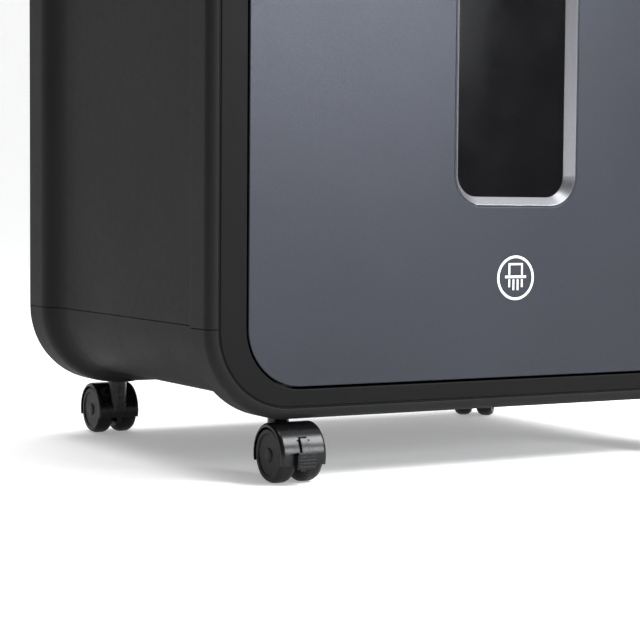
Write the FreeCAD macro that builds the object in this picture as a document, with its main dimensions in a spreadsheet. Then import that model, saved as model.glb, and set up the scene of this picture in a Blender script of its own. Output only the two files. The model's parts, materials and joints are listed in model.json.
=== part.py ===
"""Pull-out-bin paper shredder on four twin-wheel casters, in millimetres.

X is to the right, Y into the depth (the front faces -Y) and Z is up from the floor.
The cabinet is a rounded rectangle run along Y: a rim at the front and at the rear, and a
narrower waist between them. A seam above the corner rounds splits it into a lower pan and
the upper walls, and the cutting head closes it on top.
"""

import FreeCAD, Part
import Sketcher
import math
import os

V = FreeCAD.Vector
doc = FreeCAD.newDocument("paper_shredder")

# ---------------------------------------------------------------- driving dimensions
SIZES = {
    # cabinet
    "cabinet_width": (410.0, "over the rims"),
    "cabinet_depth": (280.0, "front plane to back plane"),
    "cabinet_top": (585.0, "top of the rims above the floor"),
    "cabinet_bottom": (36.4, "underside of the rims above the floor"),
    "front_y": (-138.2, "front plane, set so that the whole part is centred on the origin"),
    "rim_radius": (51.7, "outer corner radius of the rims"),
    "waist_inset": (8.3, "step in from the rims to the waist"),
    "rim_depth": (23.0, "front plane to the rear edge of the front rim"),
    "flare_depth": (18.0, "length of the hollow curve from the front rim to the waist"),
    "rear_rim_depth": (26.8, "back plane to the front edge of the rear rim"),
    "rear_flare_depth": (26.4, "length of the double curve from the rear rim to the waist"),
    "lip_round": (5.8, "round on the front edge of the shell"),
    "edge_round": (7.5, "round on the rear edge"),
    "wall": (3.0, "moulded wall"),
    "bezel_depth": (8.0, "thickness of the front bezel"),
    "crease": (0.9, "open line between the bezel and the front edge of the shell"),
    "crease_round": (0.7, "round on both edges of that line"),
    "base_seam": (88.3, "seam between the lower pan and the side panels"),
    "head_seam": (420.0, "seam between the side panels and the cutting head"),
    "seam_gap": (0.4, "open width of each seam"),
    # opening in the bezel, drawer front and control fascia
    "panel_half": (179.8, "half the width of the drawer front"),
    "panel_bottom": (54.9, "bottom edge of the drawer front"),
    "panel_top": (415.9, "top edge of the drawer front"),
    "panel_radius": (33.7, "corner radius of the drawer front"),
    "panel_gap": (1.4, "gap round the drawer front"),
    "panel_thick": (4.0, "thickness of the drawer front and the fascia"),
    "panel_recess": (0.6, "front plane to the drawer front"),
    "window_half": (38.5, "half the inner width of the window"),
    "window_low": (162.8, "inner bottom edge of the window"),
    "window_high": (322.8, "inner top edge of the window"),
    "window_radius": (13.0, "inner corner radius of the window"),
    "bevel_width": (4.8, "width of the window's bevel"),
    "bevel_deep": (6.0, "depth of the window's bevel"),
    "lens_thick": (2.0, "window lens"),
    "grip_half": (52.0, "half the width of the finger grip"),
    "grip_low": (399.0, "lower edge of the finger grip"),
    # drawer bin
    "bin_half": (177.0, "half the width of the bin"),
    "bin_low": (72.0, "underside of the bin"),
    "bin_high": (412.0, "rim of the bin"),
    "bin_back_gap": (22.0, "back plane to the back of the bin"),
    "bin_wall": (2.5, "wall of the bin"),
    "bin_corner": (12.0, "upright corner radius of the bin"),
    "runner_x": (122.0, "centre of each bin runner"),
    "runner_wide": (12.0, "width of each bin runner"),
    # cutting head
    "roll_z": (480.0, "height of the roll axes"),
    "roll_gap": (39.0, "distance between the roll axes"),
    "disc_radius": (21.0, "cutting discs"),
    "core_radius": (16.5, "roll between the discs"),
    "disc_pitch": (9.0, "spacing of the discs on one roll"),
    "disc_thick": (4.0, "thickness of a disc"),
    "disc_count": (25.0, "discs on each roll"),
    "journal_radius": (8.0, "roll journals"),
    "running_gap": (0.05, "radial clearance of a journal in its bushing"),
    "plate_x": (125.0, "inner face of each side plate"),
    "plate_thick": (3.0, "side plates"),
    "plate_low": (424.0, "foot of the side plates"),
    "plate_high": (542.0, "top of the side plates"),
    "plate_front": (-48.0, "front edge of the side plates"),
    "plate_back": (126.0, "rear edge of the side plates"),
    "tray_thick": (4.0, "floor of the cutting head"),
    "slot_half": (114.0, "half the width of the feed slot"),
    "slot_open": (4.0, "half the opening of the feed slot"),
    # gear train
    "drive_teeth": (44.0, "drive gear on the rear roll"),
    "drive_pinion": (12.0, "pinion that turns it"),
    "second_teeth": (39.0, "wheel beside that pinion"),
    "second_pinion": (13.0, "pinion that turns it"),
    "first_teeth": (45.0, "wheel beside that pinion"),
    "motor_teeth": (15.0, "pinion on the motor"),
    "sync_teeth": (26.0, "equal gears that tie the two rolls"),
    "drive_module": (1.5, "drive gear pair"),
    "second_module": (1.25, "second pair"),
    "first_module": (1.0, "first pair"),
    "sync_module": (1.5, "roll gears"),
    "motor_y": (96.0, "motor axis"),
    "motor_z": (474.0, "motor axis"),
    "motor_radius": (31.0, "motor can"),
    # controls
    "button_radius": (7.0, "push buttons"),
    "button_z": (492.0, "height of the push buttons"),
    "button_pitch": (30.0, "spacing of the push buttons"),
    "button_travel": (1.5, "stroke of a push button"),
    "lens_z": (522.0, "height of the indicator strip"),
    # mains inlet on the back
    "inlet_x": (-160.0, "inlet centre"),
    "inlet_z": (462.0, "inlet centre"),
    "rocker_z": (497.0, "rocker switch pivot"),
    # casters
    "stem_x": (148.6, "caster stems from the centre line"),
    "front_stem": (23.5, "front plane to the front stems"),
    "rear_stem": (23.0, "back plane to the rear stems"),
    "trail": (13.8, "stem to wheel axle"),
    "wheel_radius": (16.0, "caster wheels"),
    "wheel_near": (2.1, "inner face of a wheel from the caster's middle"),
    "wheel_far": (13.9, "outer face of a wheel from the caster's middle"),
    "hood_radius": (18.3, "outside of the hood"),
    "hood_wall": (1.3, "hood wall"),
    "hood_half": (14.5, "half the width of the hood"),
    "hood_cut": (11.5, "lower edge of the hood above the floor"),
    "stem_radius": (3.95, "caster stem"),
    "socket_radius": (4.0, "bore of a caster socket"),
    "collar_radius": (6.2, "collar on the hood"),
    "stem_top": (66.0, "top of the stem above the floor"),
    "axle_radius": (2.0, "caster axle"),
}

sheet = doc.addObject("Spreadsheet::Sheet", "Sizes")
for row, (alias, (value, note)) in enumerate(SIZES.items(), start=1):
    sheet.set(f"A{row}", alias)
    sheet.set(f"B{row}", str(value))
    sheet.set(f"C{row}", note)
    sheet.setAlias(f"B{row}", alias)
doc.recompute()


def size(alias):
    return float(sheet.get(alias))


FRONT = size("front_y")
BACK = FRONT + size("cabinet_depth")
HALF = size("cabinet_width") / 2
LOW = size("cabinet_bottom")
TOP = size("cabinet_top")
RADIUS = size("rim_radius")
INSET = size("waist_inset")
WALL = size("wall")
CLEAR = 0.3                      # gap between pieces that move past each other
LIP_BACK = FRONT + size("bezel_depth")
SWELL_SHARE = 0.37               # share of the rear double curve that swells outward
PLUG_DEEP = 5.0                  # how far the bezel and the rear panel plug into the shell
PLUG_SLACK = 0.1                 # gap round those plugs
REACH = 1.0                      # how far a cutting tool runs past the face it opens
VAST = 500.0                     # longer than anything here, for tools that trim a side away
nodes = {}                       # node name: document object


# ---------------------------------------------------------------- parametric helpers
def linked(text):
    """An expression in which every {alias} reads the spreadsheet."""
    return text.replace("{", "Sizes.").replace("}", "")


def box(name, x, y, z):
    """A Part::Box between pairs of expressions, such as x=("{wall}", "{wall} + 4")."""
    obj = doc.addObject("Part::Box", name)
    for axis, prop, pair in zip("xyz", ("Length", "Width", "Height"), (x, y, z)):
        obj.setExpression(prop, linked(f"({pair[1]}) - ({pair[0]})"))
        obj.setExpression(f"Placement.Base.{axis}", linked(str(pair[0])))
    return obj


def cylinder(name, radius, span, axis, centre):
    """A Part::Cylinder along x, y or z over a span, with its axis through centre."""
    obj = doc.addObject("Part::Cylinder", name)
    turn = {"x": FreeCAD.Rotation(V(0, 1, 0), 90),
            "y": FreeCAD.Rotation(V(1, 0, 0), -90),
            "z": FreeCAD.Rotation()}[axis]
    obj.Placement = FreeCAD.Placement(V(), turn)
    obj.setExpression("Radius", linked(str(radius)))
    obj.setExpression("Height", linked(f"({span[1]}) - ({span[0]})"))
    others = [letter for letter in "xyz" if letter != axis]
    obj.setExpression(f"Placement.Base.{axis}", linked(str(span[0])))
    for letter, text in zip(others, centre):
        obj.setExpression(f"Placement.Base.{letter}", linked(str(text)))
    return obj


def fuse(name, *pieces):
    obj = doc.addObject("Part::MultiFuse", name)
    obj.Shapes = list(pieces)
    return obj


def cut(name, base, *tools):
    tool = tools[0] if len(tools) == 1 else fuse(name + "_tools", *tools)
    obj = doc.addObject("Part::Cut", name)
    obj.Base = base
    obj.Tool = tool
    return obj


def group(name, *pieces):
    """Separate solids that share one node."""
    obj = doc.addObject("Part::Compound", name)
    obj.Links = list(pieces)
    return obj


def coded(name, shape):
    """A Part::Feature for a shape that the sections below work out."""
    obj = doc.addObject("Part::Feature", name)
    obj.Shape = shape
    return obj


def node(name, obj):
    obj.Label = name
    nodes[name] = obj
    return obj


# ---------------------------------------------------------------- PartDesign helpers
def body_with_sketch(name, plane, offset=0.0):
    """A body and a sketch on one of its own origin planes, moved along the plane's normal."""
    body = doc.addObject("PartDesign::Body", name)
    sketch = body.newObject("Sketcher::SketchObject", name + "_sketch")
    origin = next(f for f in body.Origin.OriginFeatures if f.Role == plane)
    sketch.AttachmentSupport = [(origin, "")]
    sketch.MapMode = "FlatFace"
    sketch.AttachmentOffset = FreeCAD.Placement(V(0, 0, offset), FreeCAD.Rotation())
    return body, sketch


def closed_outline(sketch, points):
    """A closed polyline whose corners are held by named distances from the origin."""
    count = len(points)
    for index in range(count):
        start, end = points[index], points[(index + 1) % count]
        sketch.addGeometry(Part.LineSegment(V(*start, 0), V(*end, 0)))
    for index in range(count):
        sketch.addConstraint(Sketcher.Constraint("Coincident", index, 2, (index + 1) % count, 1))
    for index, (x, y) in enumerate(points):
        sketch.addConstraint(Sketcher.Constraint("DistanceX", -1, 1, index, 1, x))
        sketch.addConstraint(Sketcher.Constraint("DistanceY", -1, 1, index, 1, y))


# ---------------------------------------------------------------- rounded-rectangle shells
def rounded_rect(half, low, high, radius, y):
    """Closed wire of a rounded rectangle, upright at depth y and centred on x = 0."""
    k = radius * (1 - math.sqrt(0.5))
    corners = [(half, low, -1, 1), (half, high, -1, -1), (-half, high, 1, -1), (-half, low, 1, 1)]
    edges = []
    ends = []
    for x, z, sx, sz in corners:
        side = V(x, y, z + sz * radius)
        flat = V(x + sx * radius, y, z)
        middle = V(x + sx * k, y, z + sz * k)
        first, last = (flat, side) if (x > 0) == (sz > 0) else (side, flat)
        edges.append(Part.Arc(first, middle, last).toShape())
        ends.append((first, last))
    for index in range(4):
        edges.append(Part.LineSegment(ends[index][1], ends[(index + 1) % 4][0]).toShape())
    return Part.Wire(Part.__sortEdges__(edges))


def slab(half, low, high, radius, y_front, y_back):
    face = Part.Face(rounded_rect(half, low, high, radius, y_front))
    return face.extrude(V(0, y_back - y_front, 0))


def ring_shell(profile):
    """Sweep a closed profile round the rim's outline. Its points are (outward, y)."""
    side_x, side_z = HALF, LOW + RADIUS
    height = TOP - LOW - 2 * RADIUS
    face = Part.Face(profile(V(side_x, 0, side_z), V(1, 0, 0)))
    right = face.extrude(V(0, 0, height))
    corner = V(HALF - RADIUS, 0, LOW + RADIUS)
    low_corner = face.revolve(corner, V(0, 1, 0), 90)
    bottom_face = face.copy()
    bottom_face.rotate(corner, V(0, 1, 0), 90)
    bottom = bottom_face.extrude(V(-2 * (HALF - RADIUS), 0, 0))
    middle = V(0, 0, (LOW + TOP) / 2)
    low_half = [low_corner, bottom, low_corner.mirror(V(), V(1, 0, 0))]
    high_half = [piece.mirror(middle, V(0, 0, 1)) for piece in low_half]
    pieces = [right, right.mirror(V(), V(1, 0, 0))] + low_half + high_half
    ring = pieces[0].fuse(pieces[1:])
    return ring.removeSplitter()


def spool_profile(base, outward):
    """Section of the cabinet wall: rounded front lip, rim, flare, waist, double curve and rear rim."""
    deep = -INSET
    lip, soft = size("lip_round"), size("crease_round")
    lip_in = -(lip + soft)
    rim_end = FRONT + size("rim_depth")
    flare = size("flare_depth")
    rear_rim = BACK - size("rear_rim_depth")
    end = BACK - size("edge_round")
    half_turn = 1 - math.sqrt(0.5)

    def at(out, y):
        return V(base.x + outward.x * out, y, base.z + outward.z * out)

    # the front flare is one hollow arc that ends level with the waist
    radius = (flare ** 2 + INSET ** 2) / (2 * INSET)
    angle = math.asin(flare / radius) / 2
    front_mid = at(deep + radius * (1 - math.cos(angle)), rim_end + flare - radius * math.sin(angle))
    # the rear one swells off the rim and then hollows into the waist, both arcs turning equally
    waist_end = rear_rim - size("rear_flare_depth")
    turn = 2 * math.atan(INSET / size("rear_flare_depth"))
    swell = SWELL_SHARE * size("rear_flare_depth") / math.sin(turn)
    hollow = (1 - SWELL_SHARE) * size("rear_flare_depth") / math.sin(turn)
    join = at(-swell * (1 - math.cos(turn)), rear_rim - swell * math.sin(turn))
    swell_mid = at(-swell * (1 - math.cos(turn / 2)), rear_rim - swell * math.sin(turn / 2))
    hollow_mid = at(deep + hollow * (1 - math.cos(turn / 2)), waist_end + hollow * math.sin(turn / 2))

    edges = [Part.LineSegment(at(lip_in, LIP_BACK), at(lip_in, FRONT + soft)),
             Part.Arc(at(lip_in, FRONT + soft), at(lip_in + soft * half_turn, FRONT + soft * half_turn),
                      at(-lip, FRONT)),
             Part.Arc(at(-lip, FRONT), at(-lip * half_turn, FRONT + lip * half_turn), at(0, FRONT + lip)),
             Part.LineSegment(at(0, FRONT + lip), at(0, rim_end)),
             Part.Arc(at(0, rim_end), front_mid, at(deep, rim_end + flare)),
             Part.LineSegment(at(deep, rim_end + flare), at(deep, waist_end)),
             Part.Arc(at(deep, waist_end), hollow_mid, join),
             Part.Arc(join, swell_mid, at(0, rear_rim)),
             Part.LineSegment(at(0, rear_rim), at(0, end))]
    inner = [at(0, end), at(-WALL, end), at(-WALL, rear_rim), at(deep - WALL, waist_end),
             at(deep - WALL, rim_end + flare), at(-WALL, rim_end), at(-WALL, LIP_BACK), at(lip_in, LIP_BACK)]
    edges += [Part.LineSegment(start, stop) for start, stop in zip(inner, inner[1:])]
    return Part.Wire([edge.toShape() for edge in edges])


def edges_at_depth(shape, y):
    """The edges that lie wholly at depth y."""
    return [edge for edge in shape.Edges
            if abs(edge.BoundBox.YMin - y) < 1e-6 and abs(edge.BoundBox.YMax - y) < 1e-6]


def slice_between(shape, low, high, x_low=-300, x_high=300):
    block = Part.makeBox(x_high - x_low, 400, high - low, V(x_low, -200, low))
    return shape.common(block)


GAP = size("seam_gap") / 2
BASE_SEAM = size("base_seam")
HEAD_SEAM = size("head_seam")
OPEN_HALF = size("panel_half") + size("panel_gap")
OPEN_LOW = size("panel_bottom") - size("panel_gap")
OPEN_HIGH = TOP - (size("panel_bottom") - LOW) + size("panel_gap")
OPEN_RADIUS = size("panel_radius") + size("panel_gap")
spool = ring_shell(spool_profile)


# ---------------------------------------------------------------- front bezel
def make_front_bezel():
    """A flat frame inside the shell's front lip, with a plug behind that lip."""
    soft = size("crease_round")
    inset = size("lip_round") + soft + size("crease")
    plug_inset = WALL + PLUG_SLACK
    plug_start = LIP_BACK + PLUG_SLACK
    plug_end = plug_start + PLUG_DEEP
    opening = slab(OPEN_HALF, OPEN_LOW, OPEN_HIGH, OPEN_RADIUS, FRONT - REACH, plug_end + REACH)
    face = slab(HALF - inset, LOW + inset, TOP - inset, RADIUS - inset, FRONT, plug_start).cut(opening)
    face = face.makeFillet(soft, edges_at_depth(face, FRONT))
    plug = slab(HALF - plug_inset, LOW + plug_inset, TOP - plug_inset, RADIUS - plug_inset,
                plug_start, plug_end)
    return face.fuse(plug.cut(opening)).removeSplitter()


node("front_bezel", coded("front_bezel", make_front_bezel()))


# ---------------------------------------------------------------- caster places
STEM_X = size("stem_x")
FRONT_STEM_Y = FRONT + size("front_stem")
REAR_STEM_Y = BACK - size("rear_stem")
CASTERS = {                      # name: stem x, stem y, turn of the caster about its stem
    "front_left": (-STEM_X, FRONT_STEM_Y, 0.0),
    "front_right": (STEM_X, FRONT_STEM_Y, 0.0),
    "rear_left": (-STEM_X, REAR_STEM_Y, 180.0),
    "rear_right": (STEM_X, REAR_STEM_Y, -41.3),
}
SOCKET_OUTER = 9.0
SOCKET_HIGH = size("bin_low") - 0.5
POST_WALL = 3.0                    # the pan's post round each socket
POST_FRONT, POST_BACK = FRONT + 16.2, BACK - 12.8
WAIST_FLOOR = LOW + INSET + WALL   # upper face of the pan's floor


def column(radius, x, y, low, high):
    return Part.makeCylinder(radius, high - low, V(x, y, low))


# ---------------------------------------------------------------- lower pan and caster sockets
def make_base_pan():
    pan = slice_between(spool, LOW - 1, BASE_SEAM - GAP)
    keep = slab(HALF - 0.2, LOW + 0.2, TOP, RADIUS, POST_FRONT, POST_BACK)
    posts = [column(SOCKET_OUTER + POST_WALL, x, y, LOW + 0.2, SOCKET_HIGH - 3.5).common(keep)
             for x, y, turn in CASTERS.values()]
    bores = [column(SOCKET_OUTER, x, y, LOW - REACH, SOCKET_HIGH) for x, y, turn in CASTERS.values()]
    return pan.fuse(posts).cut(bores).removeSplitter()


node("base_pan", coded("base_pan", make_base_pan()))

sockets = []
for place, (x, y, turn) in CASTERS.items():
    sleeve = cylinder(f"socket_sleeve_{place}", SOCKET_OUTER, (LOW, SOCKET_HIGH), "z", (x, y))
    bore = cylinder(f"socket_bore_{place}", "{socket_radius}", (LOW - REACH, SOCKET_HIGH - 1.5), "z", (x, y))
    sockets.append(cut(f"socket_{place}", sleeve, bore))
node("caster_sockets", group("caster_sockets", *sockets))


# ---------------------------------------------------------------- side panels and head cover
node("side_panel_left", coded("side_panel_left",
     slice_between(spool, BASE_SEAM + GAP, HEAD_SEAM - GAP, x_high=0)))
node("side_panel_right", coded("side_panel_right",
     slice_between(spool, BASE_SEAM + GAP, HEAD_SEAM - GAP, x_low=0)))

SLOT_HALF = size("slot_half")
SLOT_OPEN = size("slot_open")
DECK_TOP = TOP - INSET             # upper face of the top between the rims
THROAT_WALL = 3.0
THROAT_LOW = 505.0
LIP_REACH = 12.0
LIP_HIGH = 2.0


def make_head_cover():
    cover = slice_between(spool, HEAD_SEAM + GAP, TOP + 1)
    reach = SLOT_OPEN + THROAT_WALL
    hole = Part.makeBox(2 * (SLOT_HALF + THROAT_WALL), 2 * reach, 30,
                        V(-SLOT_HALF - THROAT_WALL, -reach, DECK_TOP - 20))
    return cover.cut(hole).removeSplitter()


SENSOR_PIVOT = (12.0, 556.0)       # y, z
SENSOR_PIN = 1.5


def make_feed_throat():
    reach = SLOT_OPEN + THROAT_WALL
    chute = Part.makeBox(2 * (SLOT_HALF + THROAT_WALL), 2 * reach, DECK_TOP - THROAT_LOW,
                         V(-SLOT_HALF - THROAT_WALL, -reach, THROAT_LOW))
    lip = Part.makeBox(2 * (SLOT_HALF + LIP_REACH), 2 * LIP_REACH, LIP_HIGH,
                       V(-SLOT_HALF - LIP_REACH, -LIP_REACH, DECK_TOP))
    upright = [edge for edge in lip.Edges if abs(edge.BoundBox.ZLength - LIP_HIGH) < 1e-6]
    lip = lip.makeFillet(6.0, upright)
    slot = Part.makeBox(2 * SLOT_HALF, 2 * SLOT_OPEN, 90, V(-SLOT_HALF, -SLOT_OPEN, THROAT_LOW - 1))
    mouth_low, mouth_high = DECK_TOP - 3, DECK_TOP + LIP_HIGH
    narrow = Part.makePolygon([V(-SLOT_HALF, -SLOT_OPEN, mouth_low), V(SLOT_HALF, -SLOT_OPEN, mouth_low),
                               V(SLOT_HALF, SLOT_OPEN, mouth_low), V(-SLOT_HALF, SLOT_OPEN, mouth_low),
                               V(-SLOT_HALF, -SLOT_OPEN, mouth_low)])
    spread = 4.0
    wide_x, wide_y = SLOT_HALF + spread, SLOT_OPEN + spread
    wide = Part.makePolygon([V(-wide_x, -wide_y, mouth_high), V(wide_x, -wide_y, mouth_high),
                             V(wide_x, wide_y, mouth_high), V(-wide_x, wide_y, mouth_high),
                             V(-wide_x, -wide_y, mouth_high)])
    funnel = Part.makeLoft([narrow, wide], True, True)
    ears = [Part.makeBox(2.0, 9.5, 12.0, V(x, reach, 550.0)) for x in (-6.0, 4.0)]
    pivot = Part.makeCylinder(SENSOR_PIN + size("running_gap"), 20, V(-10, *SENSOR_PIVOT), V(1, 0, 0))
    return chute.fuse([lip] + ears).cut([slot, funnel, pivot]).removeSplitter()


node("head_cover", coded("head_cover", make_head_cover()))
throat = coded("throat_moulding", make_feed_throat())
sensor_slot = box("throat_sensor_slot", ("-3.5", "3.5"), ("0", "10"), ("538", "562"))
node("feed_throat", cut("feed_throat", throat, sensor_slot))


# ---------------------------------------------------------------- rear panel and screws
MOTOR_Y, MOTOR_Z = size("motor_y"), size("motor_z")
INLET_X, INLET_Z = size("inlet_x"), size("inlet_z")
SCREWS = [(x, z) for x in (-170.0, 170.0) for z in (110.0, 300.0, 545.0)]
VENT_X, VENT_Z = 13.0, 448.0
VENT_LONG, VENT_TALL, VENT_PITCH, VENT_ROWS = 70.0, 3.2, 7.5, 8
SCREW_HEAD = 3.6
SCREW_SHANK = 1.7


def make_rear_panel():
    edge = size("edge_round")
    panel = slab(HALF, LOW, TOP, RADIUS, BACK - edge, BACK)
    panel = panel.makeFillet(edge - 0.5, edges_at_depth(panel, BACK))
    plug_inset = WALL + PLUG_SLACK
    plug = slab(HALF - plug_inset, LOW + plug_inset, TOP - plug_inset, RADIUS - plug_inset,
                BACK - edge - PLUG_DEEP, BACK - edge)
    panel = panel.fuse(plug)
    hollow_inset = plug_inset + 2.6
    hollow = slab(HALF - hollow_inset, LOW + hollow_inset, TOP - hollow_inset, RADIUS - hollow_inset,
                  BACK - edge - PLUG_DEEP - REACH, BACK - WALL)
    panel = panel.cut(hollow)
    vents = [Part.makeBox(VENT_LONG, 20, VENT_TALL, V(VENT_X, BACK - 15, VENT_Z + VENT_PITCH * row))
             for row in range(VENT_ROWS)]
    window = Part.makeBox(35, 20, 75, V(INLET_X - 17.5, BACK - 15, INLET_Z - 20))
    holes = []
    for x, z in SCREWS:
        holes.append(Part.makeCylinder(SCREW_SHANK, 20, V(x, BACK - 18, z), V(0, 1, 0)))
        holes.append(Part.makeCylinder(SCREW_HEAD + 0.4, 1.6, V(x, BACK - 1.6, z), V(0, 1, 0)))
    return panel.cut(vents + [window] + holes).removeSplitter()


node("rear_panel", coded("rear_panel", make_rear_panel()))

screws = []
for index, (x, z) in enumerate(SCREWS):
    head = cylinder(f"screw_head_{index}", SCREW_HEAD, (BACK - 1.6, BACK - 0.1), "y", (x, z))
    shank = cylinder(f"screw_shank_{index}", SCREW_SHANK, (BACK - 9, BACK - 1.6), "y", (x, z))
    cross = box(f"screw_slot_{index}", (x - 2.6, x + 2.6), (BACK - 0.9, BACK + 1), (z - 0.45, z + 0.45))
    other = box(f"screw_slot_b_{index}", (x - 0.45, x + 0.45), (BACK - 0.9, BACK + 1), (z - 2.6, z + 2.6))
    screws.append(cut(f"case_screw_{index}", fuse(f"screw_{index}", head, shank), cross, other))
node("case_screws", group("case_screws", *screws))


# ---------------------------------------------------------------- drawer: front, window and bin
PANEL_Y = FRONT + size("panel_recess")
PANEL_BACK = PANEL_Y + size("panel_thick")
PANEL_HALF = size("panel_half")
PANEL_LOW, PANEL_HIGH = size("panel_bottom"), size("panel_top")
GRIP_HALF, GRIP_LOW = size("grip_half"), size("grip_low")
GRIP_DEEP = 22.0
GRIP_FLOOR = 386.0
GRIP_WALL = 2.5
PANEL_EDGE = 0.6                   # round on the front edges of the drawer front and the fascia
WINDOW_HALF = size("window_half")
WINDOW_LOW, WINDOW_HIGH = size("window_low"), size("window_high")
BEVEL, BEVEL_DEEP = size("bevel_width"), size("bevel_deep")
FRAME_LAND = 1.0                   # flat edge of the window frame outside its bevel


def window_prism(grow, y_front, y_back):
    return slab(WINDOW_HALF + grow, WINDOW_LOW - grow, WINDOW_HIGH + grow,
                size("window_radius") + grow, y_front, y_back)


def make_bin_front():
    full = slab(PANEL_HALF, PANEL_LOW, PANEL_HIGH + 60, size("panel_radius"), PANEL_Y, PANEL_BACK)
    above = Part.makeBox(VAST, 40, VAST, V(-VAST / 2, PANEL_Y - 5, PANEL_HIGH))
    front = full.cut(above)
    notch = slab(GRIP_HALF, GRIP_LOW, PANEL_HIGH + 40, 10.0, PANEL_Y - REACH, PANEL_BACK + REACH)
    cup = Part.makeBox(2 * (GRIP_HALF + GRIP_WALL), GRIP_DEEP, PANEL_HIGH - GRIP_FLOOR,
                       V(-GRIP_HALF - GRIP_WALL, PANEL_BACK, GRIP_FLOOR))
    hollow = Part.makeBox(2 * GRIP_HALF, GRIP_DEEP - GRIP_WALL, PANEL_HIGH - GRIP_FLOOR,
                          V(-GRIP_HALF, PANEL_BACK, GRIP_FLOOR + GRIP_WALL))
    front = front.cut([notch, window_prism(BEVEL + FRAME_LAND, PANEL_Y - REACH, PANEL_BACK + REACH)])
    front = front.makeFillet(PANEL_EDGE, edges_at_depth(front, PANEL_Y))
    return front.fuse(cup.cut(hollow)).removeSplitter()


def make_window_frame():
    end = PANEL_Y + BEVEL_DEEP
    ring = window_prism(BEVEL + FRAME_LAND, PANEL_Y, end)
    wide = rounded_rect(WINDOW_HALF + BEVEL, WINDOW_LOW - BEVEL, WINDOW_HIGH + BEVEL,
                        size("window_radius") + BEVEL, PANEL_Y)
    narrow = rounded_rect(WINDOW_HALF, WINDOW_LOW, WINDOW_HIGH, size("window_radius"), end)
    return ring.cut(Part.makeLoft([wide, narrow], True, True))


node("bin_front", coded("bin_front", make_bin_front()))
node("window_frame", coded("window_frame", make_window_frame()))
node("window_lens", coded("window_lens", window_prism(
     3.0, PANEL_Y + BEVEL_DEEP, PANEL_Y + BEVEL_DEEP + size("lens_thick"))))


def rounded_box(name, x, y, z, radius):
    """A Part::Box with its four upright edges rounded."""
    block = box(name + "_block", x, y, z)
    doc.recompute()
    height = block.Shape.BoundBox.ZLength
    upright = [index + 1 for index, edge in enumerate(block.Shape.Edges)
               if abs(edge.BoundBox.ZLength - height) < 1e-6]
    rounded = doc.addObject("Part::Fillet", name)
    rounded.Base = block
    rounded.Edges = [(index, radius, radius) for index in upright]
    return rounded


BIN_FRONT, BIN_BACK = PANEL_BACK, BACK - size("bin_back_gap")
bin_outer = rounded_box("bin_outer", ("-{bin_half}", "{bin_half}"), (BIN_FRONT, BIN_BACK),
                        ("{bin_low}", "{bin_high}"), size("bin_corner"))
bin_inner = rounded_box("bin_inner", ("-{bin_half} + {bin_wall}", "{bin_half} - {bin_wall}"),
                        (BIN_FRONT + size("bin_wall"), BIN_BACK - size("bin_wall")),
                        ("{bin_low} + {bin_wall}", "{bin_high} + 5"), size("bin_corner") - 2)
frame_room = coded("bin_window_room", window_prism(BEVEL + FRAME_LAND, PANEL_Y, BIN_FRONT + 10))
grip_room = box("bin_grip_room", (-GRIP_HALF - GRIP_WALL, GRIP_HALF + GRIP_WALL),
                (BIN_FRONT - REACH, BIN_FRONT + GRIP_DEEP), (GRIP_FLOOR, "{bin_high} + 5"))
node("bin_shell", cut("bin_shell", bin_outer, bin_inner, frame_room, grip_room))

runners = [box(f"runner_{side}", (f"{sign} * {{runner_x}} - {{runner_wide}} / 2",
                                  f"{sign} * {{runner_x}} + {{runner_wide}} / 2"),
               (FRONT + 18, BACK - 20), (WAIST_FLOOR, size("bin_low") - CLEAR))
           for side, sign in (("left", -1), ("right", 1))]
node("bin_runners", group("bin_runners", *runners))


# ---------------------------------------------------------------- cutting head: tray and plates
CHUTE_HALF = 118.0
CHUTE_REACH = 42.0
TRAY_HALF = HALF - INSET - WALL - 0.5
TRAY_TOP = HEAD_SEAM + size("tray_thick")
THROUGH_TRAY = (HEAD_SEAM - REACH, TRAY_TOP + REACH)
tray_floor = box("tray_floor", (-TRAY_HALF, TRAY_HALF), (FRONT + 19, BACK - 14), (HEAD_SEAM, TRAY_TOP))
tray_hole = box("tray_hole", (-CHUTE_HALF, CHUTE_HALF), (-CHUTE_REACH, CHUTE_REACH), THROUGH_TRAY)
PLUNGER_X, PLUNGER_Y = -60.0, BACK - 23.2
PLUNGER_R = 3.0
plunger_hole = cylinder("tray_plunger_hole", PLUNGER_R + CLEAR, THROUGH_TRAY, "z", (PLUNGER_X, PLUNGER_Y))
node("head_tray", cut("head_tray", tray_floor, tray_hole, plunger_hole))

ROLL_Z = size("roll_z")
ROLL_Y = size("roll_gap") / 2


def along(start, distance, angle):
    """Point at a distance and an angle in degrees from +Y towards +Z."""
    return (start[0] + distance * math.cos(math.radians(angle)),
            start[1] + distance * math.sin(math.radians(angle)))


# the gear axes as (y, z): each pair stands at half the sum of its pitch diameters
drive_distance = size("drive_module") * (size("drive_teeth") + size("drive_pinion")) / 2
second_distance = size("second_module") * (size("second_teeth") + size("second_pinion")) / 2
first_distance = size("first_module") * (size("first_teeth") + size("motor_teeth")) / 2
SECOND_ANGLE = -10.0
rear_roll = (ROLL_Y, ROLL_Z)
front_roll = (-ROLL_Y, ROLL_Z)
second_axis = along(rear_roll, drive_distance, SECOND_ANGLE)
motor_axis = (MOTOR_Y, MOTOR_Z)
span = math.dist(second_axis, motor_axis)
toward = math.degrees(math.atan2(motor_axis[1] - second_axis[1], motor_axis[0] - second_axis[0]))
lift = math.degrees(math.acos((second_distance ** 2 + span ** 2 - first_distance ** 2)
                              / (2 * second_distance * span)))
first_axis = along(second_axis, second_distance, toward + lift)

GEAR_SHAFT = 4.0
BUSHING_OUTER = 11.0


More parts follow.
